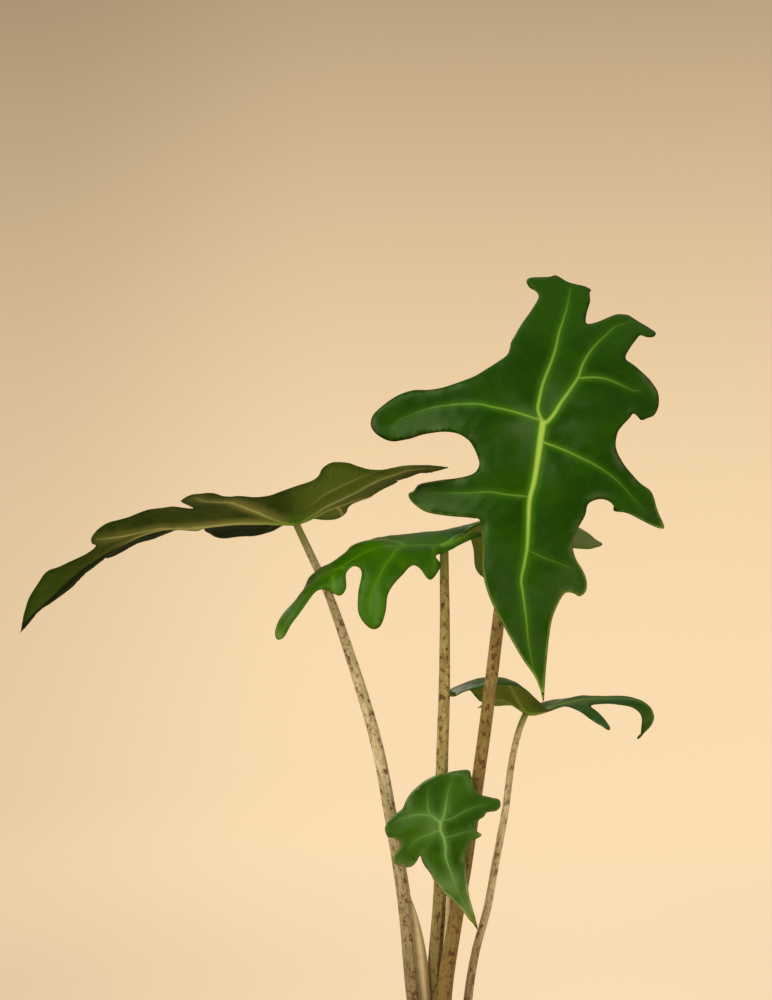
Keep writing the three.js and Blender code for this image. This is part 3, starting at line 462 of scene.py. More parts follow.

# Colours of the blades, in the order of LEAVES. Above: deep and fresh green, the pale halo beside a vein,
# the vein and its heart, the margin, its worn stretches, and the tip with the shares of the reach between
# which
# it sets in. Below: the olive between the ribs, its darker tone, also painted shade at the margin, the
# painted light beside a rib, the rib, the green of the tip, the margin and the painted shade of the far
# half. Above
# again: the pale lip along the front lobe, partly a painted highlight, and the painted sheen on the margins.
# Then the back lobes' underside, the painted sheen's share of the front lobe, and the tone of the hind
# lobes' ends above.
TONES = {
    "deep": [
        (0.008, 0.04, 0.0003), (0.009, 0.04, 0.001), (0.02, 0.08, 0.0004), (0.013, 0.052, 0.003),
        (0.015, 0.054, 0.0015),
    ],
    "fresh": [
        (0.0155, 0.062, 0.0005), (0.02, 0.07, 0.002), (0.04, 0.125, 0.0006), (0.024, 0.08, 0.005),
        (0.034, 0.098, 0.004),
    ],
    "halo": [
        (0.05, 0.165, 0.004), (0.045, 0.15, 0.004), (0.06, 0.18, 0.0015), (0.04, 0.12, 0.006),
        (0.105, 0.235, 0.04),
    ],
    "vein": [
        (0.15, 0.29, 0.03), (0.2, 0.36, 0.03), (0.085, 0.21, 0.006), (0.09, 0.2, 0.015), (0.16, 0.31, 0.07),
    ],
    "heart": [
        (0.32, 0.49, 0.075), (0.33, 0.5, 0.05), (0.12, 0.26, 0.012), (0.12, 0.26, 0.02), (0.24, 0.38, 0.12),
    ],
    "rim": [
        (0.02, 0.07, 0.002), (0.03, 0.075, 0.004), (0.06, 0.16, 0.004), (0.03, 0.085, 0.006),
        (0.12, 0.2, 0.04),
    ],
    "worn": [
        (0.09, 0.062, 0.012), (0.06, 0.06, 0.01), (0.09, 0.15, 0.008), (0.06, 0.09, 0.01),
        (0.09, 0.13, 0.02),
    ],
    "tip": [
        (0.965, 1.0, (0.2, 0.27, 0.02)), (0.965, 1.0, (0.2, 0.24, 0.02)), (0.93, 1.0, (0.12, 0.24, 0.02)),
        (0.965, 1.0, (0.12, 0.17, 0.02)), (0.74, 0.96, (0.13, 0.16, 0.008)),
    ],
    "under": [
        (0.06, 0.08, 0.01), (0.043, 0.067, 0.004), (0.115, 0.17, 0.026), (0.115, 0.155, 0.022),
        (0.12, 0.13, 0.03),
    ],
    "shade": [
        (0.03, 0.055, 0.003), (0.016, 0.036, 0.0008), (0.062, 0.105, 0.011), (0.05, 0.085, 0.005),
        (0.06, 0.085, 0.01),
    ],
    "painted_glow": [
        (0.12, 0.13, 0.03), (0.23, 0.25, 0.07), (0.14, 0.2, 0.04), (0.24, 0.27, 0.07), (0.18, 0.19, 0.05),
    ],
    "rib": [
        (0.2, 0.22, 0.06), (0.38, 0.41, 0.15), (0.17, 0.22, 0.06), (0.24, 0.29, 0.085), (0.24, 0.25, 0.08),
    ],
    "under_fresh": [
        (0.04, 0.09, 0.01), (0.03, 0.075, 0.003), (0.13, 0.21, 0.03), (0.05, 0.12, 0.015),
        (0.07, 0.13, 0.02),
    ],
    "under_rim": [
        (0.035, 0.09, 0.006), (0.05, 0.08, 0.012), (0.05, 0.12, 0.008), (0.05, 0.09, 0.012),
        (0.1, 0.16, 0.03),
    ],
    "far": [
        (0.05, 0.07, 0.01), (0.002, 0.009, 0.0001), (0.035, 0.06, 0.012), (0.05, 0.08, 0.01),
        (0.08, 0.1, 0.02),
    ],
    "lip": [
        (0.22, 0.34, 0.045), (0.09, 0.15, 0.02), (0.07, 0.17, 0.008), (0.05, 0.1, 0.012),
        (0.36, 0.46, 0.16),
    ],
    "painted_highlight": [
        (0.08, 0.135, 0.05), (0.05, 0.1, 0.03), (0.06, 0.15, 0.02), (0.045, 0.1, 0.03),
        (0.135, 0.225, 0.07),
    ],
    "back": [
        (0.065, 0.085, 0.011), (0.1, 0.155, 0.022), (0.13, 0.185, 0.03), (0.13, 0.175, 0.026),
        (0.06, 0.09, 0.012),
    ],
    "sheen": [0.12, 0.1, 0.0, 0.1, 0.7],
    "hind": [
        (0.0155, 0.062, 0.0005), (0.02, 0.07, 0.002), (0.15, 0.21, 0.035), (0.02, 0.062, 0.003),
        (0.03, 0.09, 0.004),
    ],
}

# Under every blade: the green heart round the stalk, and the rib there.
HEART = {"skin": (0.06, 0.16, 0.006), "rib": (0.20, 0.32, 0.04)}

# The pale and the dull ground colour of each stalk, that of its foot, and how strongly it is flecked.
STALK_TONES = {
    "upper": ((0.275, 0.21, 0.055), (0.165, 0.12, 0.025), (0.20, 0.14, 0.033), 1.0),
    "left": ((0.62, 0.55, 0.33), (0.42, 0.36, 0.18), (0.19, 0.145, 0.055), 0.85),
    "drooping": ((0.45, 0.40, 0.15), (0.30, 0.26, 0.075), (0.20, 0.145, 0.04), 0.95),
    "hooked": ((0.66, 0.55, 0.33), (0.44, 0.36, 0.18), (0.42, 0.32, 0.17), 0.7),
    # The front stalk's tones, its foot's most of all, are partly painted light against the shade round the
    # crown.
    "front": ((0.72, 0.62, 0.36), (0.54, 0.45, 0.23), (0.70, 0.56, 0.32), 0.4),
}

# On every stalk: streaks, the haze round the flecks, specks, flecks, the sheath's pale thin edge, partly
# painted light, and the top.
STALK_MARKS = {
    "streak": (0.13, 0.10, 0.03),
    "haze": (0.23, 0.115, 0.045),
    "speck": (0.10, 0.034, 0.008),
    "fleck": (0.092, 0.028, 0.006),
    "sheath": (0.95, 0.80, 0.46),
    "top": (0.20, 0.25, 0.045),
}

# Clay: its two shades, its bands, the lime bloom and the grit.
CLAY = {
    "shades": ((0.40, 0.145, 0.062), (0.52, 0.215, 0.10)),
    "band": (0.34, 0.12, 0.055),
    "bloom": (0.62, 0.46, 0.34),
    "grit": (0.22, 0.08, 0.04),
}

# Root stock: its two shades and its fibres.
ROOT = {"shades": ((0.085, 0.048, 0.022), (0.24, 0.155, 0.075)), "fibre": (0.33, 0.24, 0.13)}

# Bark mix: two shades each of compost, bark and grains, the bark's grain, and the pale grit.
MIX = {
    "compost": ((0.018, 0.011, 0.007), (0.06, 0.038, 0.022)),
    "bark": ((0.075, 0.038, 0.018), (0.24, 0.125, 0.058)),
    "bark_grain": (0.045, 0.024, 0.013),
    "grains": ((0.03, 0.018, 0.011), (0.13, 0.075, 0.04)),
    "grit": (0.62, 0.58, 0.50),
}


def unit(vector):
    """The vector's direction, at length 1."""
    return vector / np.linalg.norm(vector)


def turn_about(vector, axle, degrees):
    """Turns a vector about a unit axle, by the right-hand rule."""
    angle = math.radians(degrees)
    across = np.cross(axle, vector) * math.sin(angle)
    along = axle * np.dot(axle, vector) * (1 - math.cos(angle))
    return vector * math.cos(angle) + across + along


def smooth_step(values, low, high):
    """Rises smoothly from 0 to 1 while the value goes from low to high."""
    share = np.clip((values - low) / (high - low), 0, 1)
    return share * share * (3 - 2 * share)


def noise_at(points, size, seed=0):
    """Smooth noise from -1 to 1 at each point, with bumps of about the given size."""
    shift = Vector((seed * 7.3, seed * 3.1, seed * 5.7))
    return np.array([noise.noise(Vector(point) / size + shift) for point in points])


def new_piece(name, points, faces, material, node, attributes=None):
    """Makes a smooth mesh from points in millimetres, hangs it on the root body and hides the imported part
    it takes the place of.
    """
    mesh = bpy.data.meshes.new(name)
    mesh.from_pydata((np.asarray(points) * MM).tolist(), [], [tuple(map(int, face)) for face in faces])
    for label, values in (attributes or {}).items():
        flat = np.asarray(values, dtype=np.float32)
        kind = "FLOAT" if flat.ndim == 1 else "FLOAT_VECTOR"
        layer = mesh.attributes.new(label, kind, "POINT")
        layer.data.foreach_set("value" if kind == "FLOAT" else "vector", flat.ravel())
    mesh.polygons.foreach_set("use_smooth", [True] * len(mesh.polygons))
    mesh.validate()
    mesh.update()
    piece = bpy.data.objects.new(name, mesh)
    bpy.context.collection.objects.link(piece)
    mesh.materials.append(material)
    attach(piece, "root")
    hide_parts(node)
    return piece


def hermite(start, leave, end, arrive, share):
    """Where a smooth curve is between two stops, from the stops and its directions there."""
    return (
        start * (2 * share ** 3 - 3 * share ** 2 + 1)
        + leave * (share ** 3 - 2 * share ** 2 + share)
        + end * (3 * share ** 2 - 2 * share ** 3)
        + arrive * (share ** 3 - share ** 2)
    )


def knot_slope(before, here, after, first, second):
    """The direction of a curve at a knot, from the knots beside it and the steps to them."""
    return (here - before) / first - (after - before) / (first + second) + (after - here) / second


def evenly(curve, spacing, closed=False):
    """Points about the given spacing apart on a curve, and how far along it they are."""
    arc = np.concatenate([[0], np.cumsum(np.linalg.norm(np.diff(curve, axis=0), axis=1))])
    count = round(arc[-1] / spacing) + (0 if closed else 1)
    runs = np.linspace(0, arc[-1], count, endpoint=not closed)
    return np.stack([np.interp(runs, arc, values) for values in curve.T], axis=1), runs


def smooth_path(stops, spacing):
    """Points evenly spaced on a smooth open curve through the stops, whose knots follow the distances."""
    stops = np.array(stops, dtype=float)
    ends = np.vstack([2 * stops[:1] - stops[1:2], stops, 2 * stops[-1:] - stops[-2:-1]])
    curve = []
    for before, start, end, after in zip(ends, ends[1:], ends[2:], ends[3:]):
        first, middle, last = (
            math.sqrt(np.linalg.norm(b - a)) for a, b in ((before, start), (start, end), (end, after))
        )
        leave = knot_slope(before, start, end, first, middle) * middle
        arrive = knot_slope(start, end, after, middle, last) * middle
        for share in np.linspace(0, 1, PATH_STEPS, endpoint=False):
            curve.append(hermite(start, leave, end, arrive, share))
    return evenly(np.array(curve + [stops[-1]]), spacing)


def turns(sides):
    """Even angles round a circle."""
    return [2 * math.pi * j / sides for j in range(sides)]


def polar(radius, angle, height):
    """The point at a distance and an angle from the Z axis, at a height."""
    return radius * math.cos(angle), radius * math.sin(angle), height


def ring_faces(rings, sides, first=0):
    """Faces between rings of points that follow one another from the first point on."""
    faces = []
    for ring in range(rings - 1):
        base = first + ring * sides
        for j in range(sides):
            k = (j + 1) % sides
            faces.append((base + j, base + k, base + sides + k, base + sides + j))
    return faces


# Blades

def blade_axes(heading, pitch, roll):
    """Directions at the junction: along the midrib, and out of the upper face."""
    level = math.cos(math.radians(pitch))
    s = np.array([
        math.cos(math.radians(heading)) * level,
        math.sin(math.radians(heading)) * level,
        math.sin(math.radians(pitch)),
    ])
    t = unit(np.cross([0, 0, 1], s))
    return s, turn_about(np.cross(s, t), s, roll)


def grow_vein(vein, parent, junction, axes):
    """Grows a vein in steps, both on the flat blade and in space."""
    if parent is None:
        flat, place, course = np.zeros(2), junction, 0.0
        along, normal = axes
    else:
        step = vein.get("at", 0) / parent["length"] * VEIN_STEPS
        k = min(int(step), VEIN_STEPS - 1)
        flat = parent["flat"][k] + (parent["flat"][k + 1] - parent["flat"][k]) * (step - k)
        place = parent["places"][k] + (parent["places"][k + 1] - parent["places"][k]) * (step - k)
        course, along, normal = parent["courses"][k], parent["alongs"][k], parent["normals"][k]

    def lift(along, normal, angle):
        """Bends the course towards the upper face, and the face with it."""
        axle = unit(np.cross(along, normal))
        return turn_about(along, axle, angle), turn_about(normal, axle, angle)

    course += vein["heading"]
    along = turn_about(along, normal, vein["heading"])
    along, normal = lift(along, normal, vein.get("rise", 0))
    grown = dict(vein, flat=[flat], places=[place], courses=[course], alongs=[along], normals=[normal])
    stride = vein["length"] / VEIN_STEPS
    for i in range(VEIN_STEPS):
        early, late = i / VEIN_STEPS, (i + 1) / VEIN_STEPS
        coil, droop = vein.get("coil", 1), vein.get("droop", 1)
        turn = vein.get("sweep", 0) * (late ** coil - early ** coil)
        bend = vein.get("bend", 0) * (late ** droop - early ** droop)
        course += turn
        along, normal = lift(turn_about(along, normal, turn), normal, -bend)
        heading = np.array([math.cos(math.radians(course)), math.sin(math.radians(course))])
        grown["flat"].append(grown["flat"][-1] + heading * stride)
        grown["places"].append(grown["places"][-1] + along * stride)
        grown["courses"].append(course)
        grown["alongs"].append(along)
        grown["normals"].append(normal)
    return grown


def grow_veins(leaf):
    """All veins of a leaf, each grown from the one that it leaves."""
    junction = np.array(leaf["junction"], dtype=float)
    axes = blade_axes(*leaf["pose"])
    veins = {}
    for name, vein in leaf["veins"].items():
        veins[name] = grow_vein(vein, veins.get(vein.get("on", "mid")), junction, axes)
    return veins


def bend_kernel(a, b):
    """How a thin plate pinned at b bends at a."""
    distance = np.linalg.norm(a[:, None, :] - b[None, :, :], axis=2)
    return np.where(distance > 1e-9, distance ** 2 * np.log(np.maximum(distance, 1e-9)), 0)


def blade_map(leaf, veins):
    """Smooth map from the flat blade to space that carries the veins' pins there: a thin-plate spline."""
    pins = [np.zeros(2)]
    places = [np.array(leaf["junction"], dtype=float)]
    for vein in veins.values():
        pins += [vein["flat"][k] for k in PINS]
        places += [vein["places"][k] for k in PINS]
    pins, places = np.array(pins), np.array(places)
    count = len(pins)
    matrix = np.zeros((count + 3, count + 3))
    matrix[:count, :count] = bend_kernel(pins, pins) + leaf["slack"] * np.eye(count)
    matrix[:count, count] = 1
    matrix[:count, count + 1:] = pins
    matrix[count:, :count] = matrix[:count, count:].T
    weights = np.linalg.solve(matrix, np.vstack([places, np.zeros((3, 3))]))

    def to_space(points):
        terms = np.hstack([bend_kernel(points, pins), np.ones((len(points), 1)), points])
        return terms @ weights

    return to_space


def smooth_loop(outline, spacing):
    """Points evenly spaced on a closed smooth curve through the outline."""
    stops = np.array(outline, dtype=float)
    ahead, after, behind = np.roll(stops, -1, 0), np.roll(stops, -2, 0), np.roll(stops, 1, 0)
    shares = np.linspace(0, 1, LOOP_STEPS, endpoint=False)[None, :, None]
    leave, arrive = 0.5 * (ahead - behind), 0.5 * (after - stops)
    curve = hermite(stops[:, None], leave[:, None], ahead[:, None], arrive[:, None], shares).reshape(-1, 2)
    return evenly(np.vstack([curve, curve[:1]]), spacing, closed=True)[0]


def inside(loop, points):
    """Marks the points within a closed loop."""
    a, b = loop, np.roll(loop, -1, 0)
    x, y = points[:, :1], points[:, 1:]
    crosses = (a[:, 1] > y) != (b[:, 1] > y)
    rise = np.where(b[:, 1] == a[:, 1], 1e-9, b[:, 1] - a[:, 1])
    left = x < (b[:, 0] - a[:, 0]) * (y - a[:, 1]) / rise + a[:, 0]
    return np.count_nonzero(crosses & left, axis=1) % 2 == 1


def distance_to(points, stops, closed=False):
    """Distance from each point to a line of stops, and how far along it the nearest spot is, in stops."""
    a = stops if closed else stops[:-1]
    b = np.roll(stops, -1, 0) if closed else stops[1:]
    run = b - a
    share = np.einsum("ijk,jk->ij", points[:, None] - a[None], run) / np.maximum((run ** 2).sum(1), 1e-12)
    share = np.clip(share, 0, 1)
    gaps = np.linalg.norm(points[:, None] - (a[None] + share[..., None] * run[None]), axis=2)
    nearest = gaps.argmin(1)
    rows = np.arange(len(points))
    return gaps[rows, nearest], nearest + share[rows, nearest]


class Sieve:
    """Keeps points that have room round them."""

    def __init__(self, cell):
        self.cell = cell
        self.slots = {}
        self.points = []

    def add(self, point, room):
        column, row = int(point[0] // self.cell), int(point[1] // self.cell)
        for i in (column - 1, column, column + 1):
            for j in (row - 1, row, row + 1):
                for other in self.slots.get((i, j), ()):
                    if math.dist(other, point) < room:
                        return False
        self.slots.setdefault((column, row), []).append(tuple(point))
        self.points.append(tuple(point))
        return True


def drawn_veins(leaf, veins):
    """Each vein as it shows: its path on the flat blade, and half its width and its paleness on the way."""
    drawn = []
    for name, vein in veins.items():
        line = leaf.get("lines", {}).get(name, {})
        path = smooth_path(line["stops"], BLADE["line_step"])[0] if line else np.array(vein["flat"])
        length = np.linalg.norm(np.diff(path, axis=0), axis=1).sum()
        main = 1 if vein.get("main") else BLADE["side_vein"]
        short = min(1, length / BLADE["full_vein"])
        width = line.get("width", [size * main * short for size in BLADE["vein_width"]])
        pale = line.get("pale", BLADE["vein_pale"])
        drawn.append(dict(path=path, length=length, width=width, pale=pale, main=vein.get("main")))
    return drawn


def value_at(values, share):
    """A value given at even steps along a vein, at a share of its length."""
    return np.interp(share, np.linspace(0, 1, len(values)), values)


def blade_sheet(loop, veins):
    """Fine triangles over the outline, with points along and beside each vein."""
    sieve = Sieve(BLADE["cell"])
    for point in loop:
        sieve.add(point, 0)
    candidates = []
    for vein in veins:
        stops = int(vein["length"] / BLADE["vein_step"])
        last = len(vein["path"]) - 1
        for i in range(stops):
            step = i / stops * last
            k = min(int(step), last - 1)
            run = vein["path"][k + 1] - vein["path"][k]
            centre = vein["path"][k] + run * (step - k)
            across = unit(np.array([-run[1], run[0]]))
            width = value_at(vein["width"], i / stops)
            candidates.append((centre, BLADE["vein_room"]))
            for out, room in ((width, BLADE["flank_room"]), (width + BLADE["apron"], BLADE["apron_room"])):
                candidates += [(centre + side * out * across, room) for side in (1, -1)]
    low, high = loop.min(0), loop.max(0)
    cell_room = BLADE["cell"] * BLADE["cell_room"]
    row_height = BLADE["cell"] * math.sqrt(0.75)
    for row in range(int((high[1] - low[1]) / row_height) + 1):
        shift = (row % 2) * BLADE["cell"] / 2
        for x in np.arange(low[0] + shift, high[0], BLADE["cell"]):
            candidates.append((np.array([x, low[1] + row * row_height]), cell_room))
    spots = np.array([spot for spot, _ in candidates])
    for (spot, room), within in zip(candidates, inside(loop, spots)):
        if within:
            sieve.add(spot, room)
    rim = [(i, (i + 1) % len(loop)) for i in range(len(loop))]
    corners, _, faces, *_ = delaunay_2d_cdt([Vector(p) for p in sieve.points], rim, [], 1, 1e-5)
    flat = np.array([tuple(corner) for corner in corners])
    return flat, np.array([tuple(face) for face in faces if len(face) == 3])


def rim_points(triangles, count):
    """Marks the points on the sheet's edge, whose edges have one triangle each."""
    edges = np.sort(np.vstack([triangles[:, [0, 1]], triangles[:, [1, 2]], triangles[:, [2, 0]]]), axis=1)
    pairs, times = np.unique(edges, axis=0, return_counts=True)
    marks = np.zeros(count, dtype=bool)
    marks[pairs[times == 1].ravel()] = True
    return marks


def vein_fields(flat, veins):
    """For each flat point: the gap to the nearest vein's side, the plain distance, how pale that vein is,
    the distance along it, the rib's height there and how surely that vein is the nearest."""
    gaps, distances, pales, runs, ribs = [], [], [], [], []
    for vein in veins:
        distance, step = distance_to(flat, vein["path"])
        share = step / (len(vein["path"]) - 1)
        size = BLADE["rib_base"] + (BLADE["rib_tip"] - BLADE["rib_base"]) * share
        size *= 1 if vein["main"] else BLADE["side_rib"]
        gaps.append(distance - value_at(vein["width"], share))
        distances.append(distance)
        pales.append(value_at(vein["pale"], share))
        runs.append(share * vein["length"])
        ribs.append(size * np.exp(-(distance / BLADE["rib_reach"]) ** 2) * (1 - smooth_step(share, 0.8, 1)))
    distances = np.sort(distances, axis=0)
    nearest = np.argmin(gaps, axis=0), np.arange(len(flat))
    return {
        "gap": np.array(gaps)[nearest],
        "distance": distances[0],
        "pale": np.array(pales)[nearest],
        "run": np.array(runs)[nearest],
        "rib": np.max(ribs, axis=0),
        "sure": smooth_step(distances[1] - distances[0], 0, BLADE["clear"]),
    }


def relief(flat, fields, edge, arc, seed):
    """How far the sheet stands out of its smooth form, and where each point is between side nerves."""
    size = min(1, np.ptp(flat[:, 0]) / BLADE["full_length"])
    fold, fold_length = BLADE["fold"]
    crease, crease_length = BLADE["crease"]
    wave, wave_length = BLADE["wave"]
    change, change_length = BLADE["roll_change"]
    vein_inset, edge_inset = BLADE["quilt_inset"]
    spots = np.column_stack([flat, np.zeros(len(flat))])
    edge_spots = np.column_stack([arc * BLADE["edge_step"], np.zeros(len(arc)), np.zeros(len(arc))])
    swell = BLADE["bulge"] * (1 - np.exp(-(fields["distance"] / BLADE["bulge_reach"]) ** 2))
    folds = fold * size * noise_at(spots, fold_length, seed)
    folds += crease * noise_at(spots, crease_length, seed + 1)
    waves = wave * size * noise_at(edge_spots, wave_length, seed + 2) * np.exp(-edge / BLADE["wave_reach"])
    uneven = BLADE["roll_level"] + change * noise_at(edge_spots, change_length, seed + 3)
    roll = -BLADE["roll"] * size * uneven * np.exp(-(edge / BLADE["roll_reach"]) ** 1.5)
    nerve = (fields["run"] - BLADE["nerve_slant"] * fields["distance"]) / BLADE["nerve_gap"]
    quilt = BLADE["quilt"] * size * np.cos(2 * math.pi * nerve) * fields["sure"]
    quilt = quilt * smooth_step(fields["gap"], 0, vein_inset) * smooth_step(edge, 0, edge_inset)
    return swell + folds + waves + roll - quilt, nerve


def blade_piece(name, leaf, seed):
    """One blade: pale veins in shallow channels above, ribs below, a waved margin and quilted panels."""
    veins = grow_veins(leaf)
    to_space = blade_map(leaf, veins)
    loop = smooth_loop(leaf["outline"], BLADE["edge_step"])
    drawn = drawn_veins(leaf, veins)
    flat, triangles = blade_sheet(loop, drawn)
    count = len(flat)
    fields = vein_fields(flat, drawn)
    edge, arc = distance_to(flat, loop, closed=True)
    rim = rim_points(triangles, count)
    edge[rim] = 0
    normal = np.cross(
        to_space(flat + [0.5, 0]) - to_space(flat - [0.5, 0]),
        to_space(flat + [0, 0.5]) - to_space(flat - [0, 0.5]),
    )
    normal /= np.linalg.norm(normal, axis=1, keepdims=True)
    raised, nerve = relief(flat, fields, edge, arc, seed)
    sheet = to_space(flat) + normal * raised[:, None]

    width = np.maximum(-fields["gap"], 0)
    channel = -BLADE["channel"] * np.exp(-(fields["gap"] / BLADE["channel_reach"]) ** 2)
    channel += BLADE["crest"] * smooth_step(width, 0, BLADE["crest_reach"])
    inward = smooth_step(edge, 0, BLADE["rim_reach"])
    above = BLADE["half"] * (BLADE["rim_half"] + (1 - BLADE["rim_half"]) * inward) + channel * inward
    below = (BLADE["half"] + fields["rib"]) * inward
    points = np.vstack([sheet + normal * above[:, None], sheet - normal * below[:, None]])

    # Both faces of the blade share the points on the rim.
    twin = np.where(rim, np.arange(count), np.arange(count) + count)
    faces = np.vstack([triangles, twin[triangles[:, ::-1]]])
    used = np.concatenate([np.ones(count, dtype=bool), ~rim])
    renumber = np.cumsum(used) - 1

    def both(values):
        return np.concatenate([values, values])[used]

    reach = np.linalg.norm(flat, axis=1)
    attributes = {
        "gap": both(fields["gap"]),
        "edge": both(edge),
        "above": np.concatenate([np.where(rim, 0.5, 1.0), np.zeros(count)])[used],
        "ladder": both(np.column_stack([nerve, fields["pale"], fields["sure"]])),
        "skin": both(np.column_stack([flat, np.zeros(count)])),
        "reach": both(reach / reach.max()),
    }
    points, faces = points[used], renumber[faces]
    node = f"blade_{name}"
    return new_piece(f"leaf_{node}", points, faces, blade_material(name), node, attributes)


# Stalks

def wing_height(wing, share):
    """How far the sheath's thin edge stands out at a share of the stalk's length."""
    if not wing or not wing["from"] < share < wing["to"]:
        return 0
    run = (share - wing["from"]) / (wing["to"] - wing["from"])
    return wing["height"] * math.sin(math.pi * run) ** STALK["wing_curve"]


def stalk_reach(around, angle, radius, wing, lip, seed):
    """How far a stalk's skin is from its middle line: round, faintly ridged, with sheath edges low down."""
    ridge = STALK["ridge"] * radius * math.sin(STALK["ridges"] * angle + seed)
    fin = wing * math.exp(-(around / STALK["wing_spread"]) ** 2)
    split = abs(around + STALK["lip_place"]) - STALK["lip_split"]
    fold = lip * math.exp(-(split / STALK["lip_spread"]) ** 2)
    return radius + ridge + fin + fold


def stalk_piece(name, leaf, seed):
    """Tapering stalk on its route, cut off under the blade."""
    centres, runs = smooth_path(leaf["route"], STALK["step"])
    tangents = np.gradient(centres, axis=0)
    tangents /= np.linalg.norm(tangents, axis=1, keepdims=True)
    radii = value_at(leaf["radii"], runs / runs[-1])
    junction = np.array(leaf["junction"])
    out = blade_axes(*leaf["pose"])[1]
    stout = min(1, leaf["radii"][0] / STALK["lip_radius"])
    sides = STALK["sides"]
    points, skin, height, winged = [], [], [], []
    for centre, tangent, radius, run in zip(centres, tangents, radii, runs):
        share = run / runs[-1]
        side = unit(np.array([1.0, 0, 0]) - tangent * tangent[0])
        back = np.cross(tangent, side)
        wing = wing_height(leaf.get("wing"), share)
        lip = STALK["lip"] * smooth_step(STALK["lip_top"] - share, 0, STALK["lip_fade"]) * stout
        for angle in turns(sides):
            around = math.atan2(math.sin(angle), math.cos(angle))
            reach = stalk_reach(around, angle, radius, wing, lip, seed)
            point = centre + reach * (side * math.cos(angle) + back * math.sin(angle))
            over = np.dot(point - junction, out) + BLADE["half"] + STALK["overrun"]
            if over > 0 and runs[-1] - run < STALK["socket"]:
                point = point - tangent * min(over / max(np.dot(tangent, out), 0.25), STALK["socket_depth"])
            points.append(point)
            skin.append(polar(radius, angle, run))
            height.append(share)
            winged.append(min(1, wing / 2) * math.exp(-(around / STALK["wing_pale_spread"]) ** 2))
    faces = ring_faces(len(centres), sides)
    faces.append(tuple(reversed(range(sides))))
    faces.append(tuple(range(len(points) - sides, len(points))))
    attributes = {"skin": skin, "height": height, "winged": winged}
    node = f"stalk_{name}"
    return new_piece(f"leaf_{node}", points, faces, stalk_material(name, seed), node, attributes)


# Pot, crown and bark mix

def wall_radius(height):
    """The pot's outer radius under its rim."""
    return POT["base_radius"] + POT["taper"] * height


def inner_radius(height):
    """The pot's inner radius."""
    return wall_radius(height) - POT["wall"]


def turned(profile, sides, wobble=None):
    """Points and faces of a profile turned about the Z axis. The first and last stops lie on the axis."""
    points = [(0, 0, profile[0][1])]
    for radius, height in profile[1:-1]:
        for angle in turns(sides):
            reach = radius + (wobble(radius, angle, height) if wobble else 0)
            points.append(polar(reach, angle, height))
    points.append((0, 0, profile[-1][1]))
    rings = len(profile) - 2
    last = 1 + (rings - 1) * sides
    faces = [(0, 1 + (j + 1) % sides, 1 + j) for j in range(sides)]
    faces += ring_faces(rings, sides, 1)
    faces += [(last + j, last + (j + 1) % sides, len(points) - 1) for j in range(sides)]
    return np.array(points, dtype=float), faces


def rounded(profile, reach=1.2, steps=4):
    """Rounds each corner of a profile, leaving its two ends on the axis."""
    stops = [np.array(stop, dtype=float) for stop in profile]
    smooth = [stops[0]]
    for before, corner, after in zip(stops, stops[1:], stops[2:]):
        inward = min(reach, np.linalg.norm(corner - before) * 0.45)
        outward = min(reach, np.linalg.norm(after - corner) * 0.45)
        start = corner + unit(before - corner) * inward
        end = corner + unit(after - corner) * outward
        for share in np.linspace(0, 1, steps):
            smooth.append(start * (1 - share) ** 2 + corner * 2 * share * (1 - share) + end * share ** 2)
    return smooth + [stops[-1]]


def divided(profile, longest):
    """Adds stops to the long runs of a profile."""
    stops = [np.array(profile[0], dtype=float)]
    for start, end in zip(profile, profile[1:]):
        count = max(1, math.ceil(np.linalg.norm(np.array(end) - start) / longest))
        stops += [np.array(start) + (np.array(end) - start) * (i + 1) / count for i in range(count)]
    return stops


def cut_away(piece, place, angle):
    """Takes the shape that was made last, moved out and turned, away from a piece."""
    tool = bpy.context.active_object
    tool.location = polar(place * MM, angle, 0)
    tool.rotation_euler = (0, 0, angle)
    cut = piece.modifiers.new("cut", "BOOLEAN")
    cut.operation = "DIFFERENCE"
    cut.object = tool
    bpy.context.view_layer.objects.active = piece
    bpy.ops.object.modifier_apply(modifier=cut.name)
    bpy.data.objects.remove(tool)


def pot_piece():
    """Tapered clay pot with a thick rim, drain holes, and a groove from each to the edge of its foot."""
    rim_foot = POT["height"] - POT["rim_height"]
    height, floor, bevel, rim_bevel = POT["height"], POT["floor"], POT["bevel"], POT["rim_bevel"]
    floor_bevel = POT["floor_bevel"]
    profile = [
        (0, 0),
        (POT["base_radius"] - bevel, 0),
        (wall_radius(bevel), bevel),
        (wall_radius(rim_foot), rim_foot),
        (wall_radius(rim_foot) + POT["rim_step"], rim_foot + 1),
        (POT["rim_radius"] - 1, height - rim_bevel),
        (POT["rim_radius"] - rim_bevel, height),
        (inner_radius(height) + rim_bevel, height),
        (inner_radius(height), height - rim_bevel),
        (inner_radius(floor + floor_bevel), floor + floor_bevel),
        (inner_radius(floor) - floor_bevel, floor),
        (0, floor),
    ]

    def wobble(radius, angle, level):
        """Dents and rings of the wall. The foot and the floor stay plain."""
        if radius < POT["base_radius"] - 3:
            return 0
        spot = Vector((math.cos(angle) * 2, math.sin(angle) * 2, level / POT["dent_height"]))
        return POT["dent"] * noise.noise(spot) + POT["ring"] * math.sin(level * POT["ring_turns"])

    points, faces = turned(divided(rounded(profile), 3), POT["sides"], wobble)
    piece = new_piece("clay_pot", points, faces, clay_material(), "pot")
    hole = {"vertices": 40, "radius": POT["drain_radius"] * MM, "depth": POT["floor"] * 3 * MM}
    groove = (POT["base_radius"] * MM, POT["groove_width"] * MM, 2 * POT["groove_depth"] * MM)
    for i in range(POT["drain_count"]):
        angle = (i + 0.5) / POT["drain_count"] * 2 * math.pi
        bpy.ops.mesh.primitive_cylinder_add(**hole)
        cut_away(piece, POT["drain_circle"], angle)
        bpy.ops.mesh.primitive_cube_add(size=1, scale=groove)
        cut_away(piece, POT["drain_circle"] + POT["base_radius"] / 2, angle)
    return piece


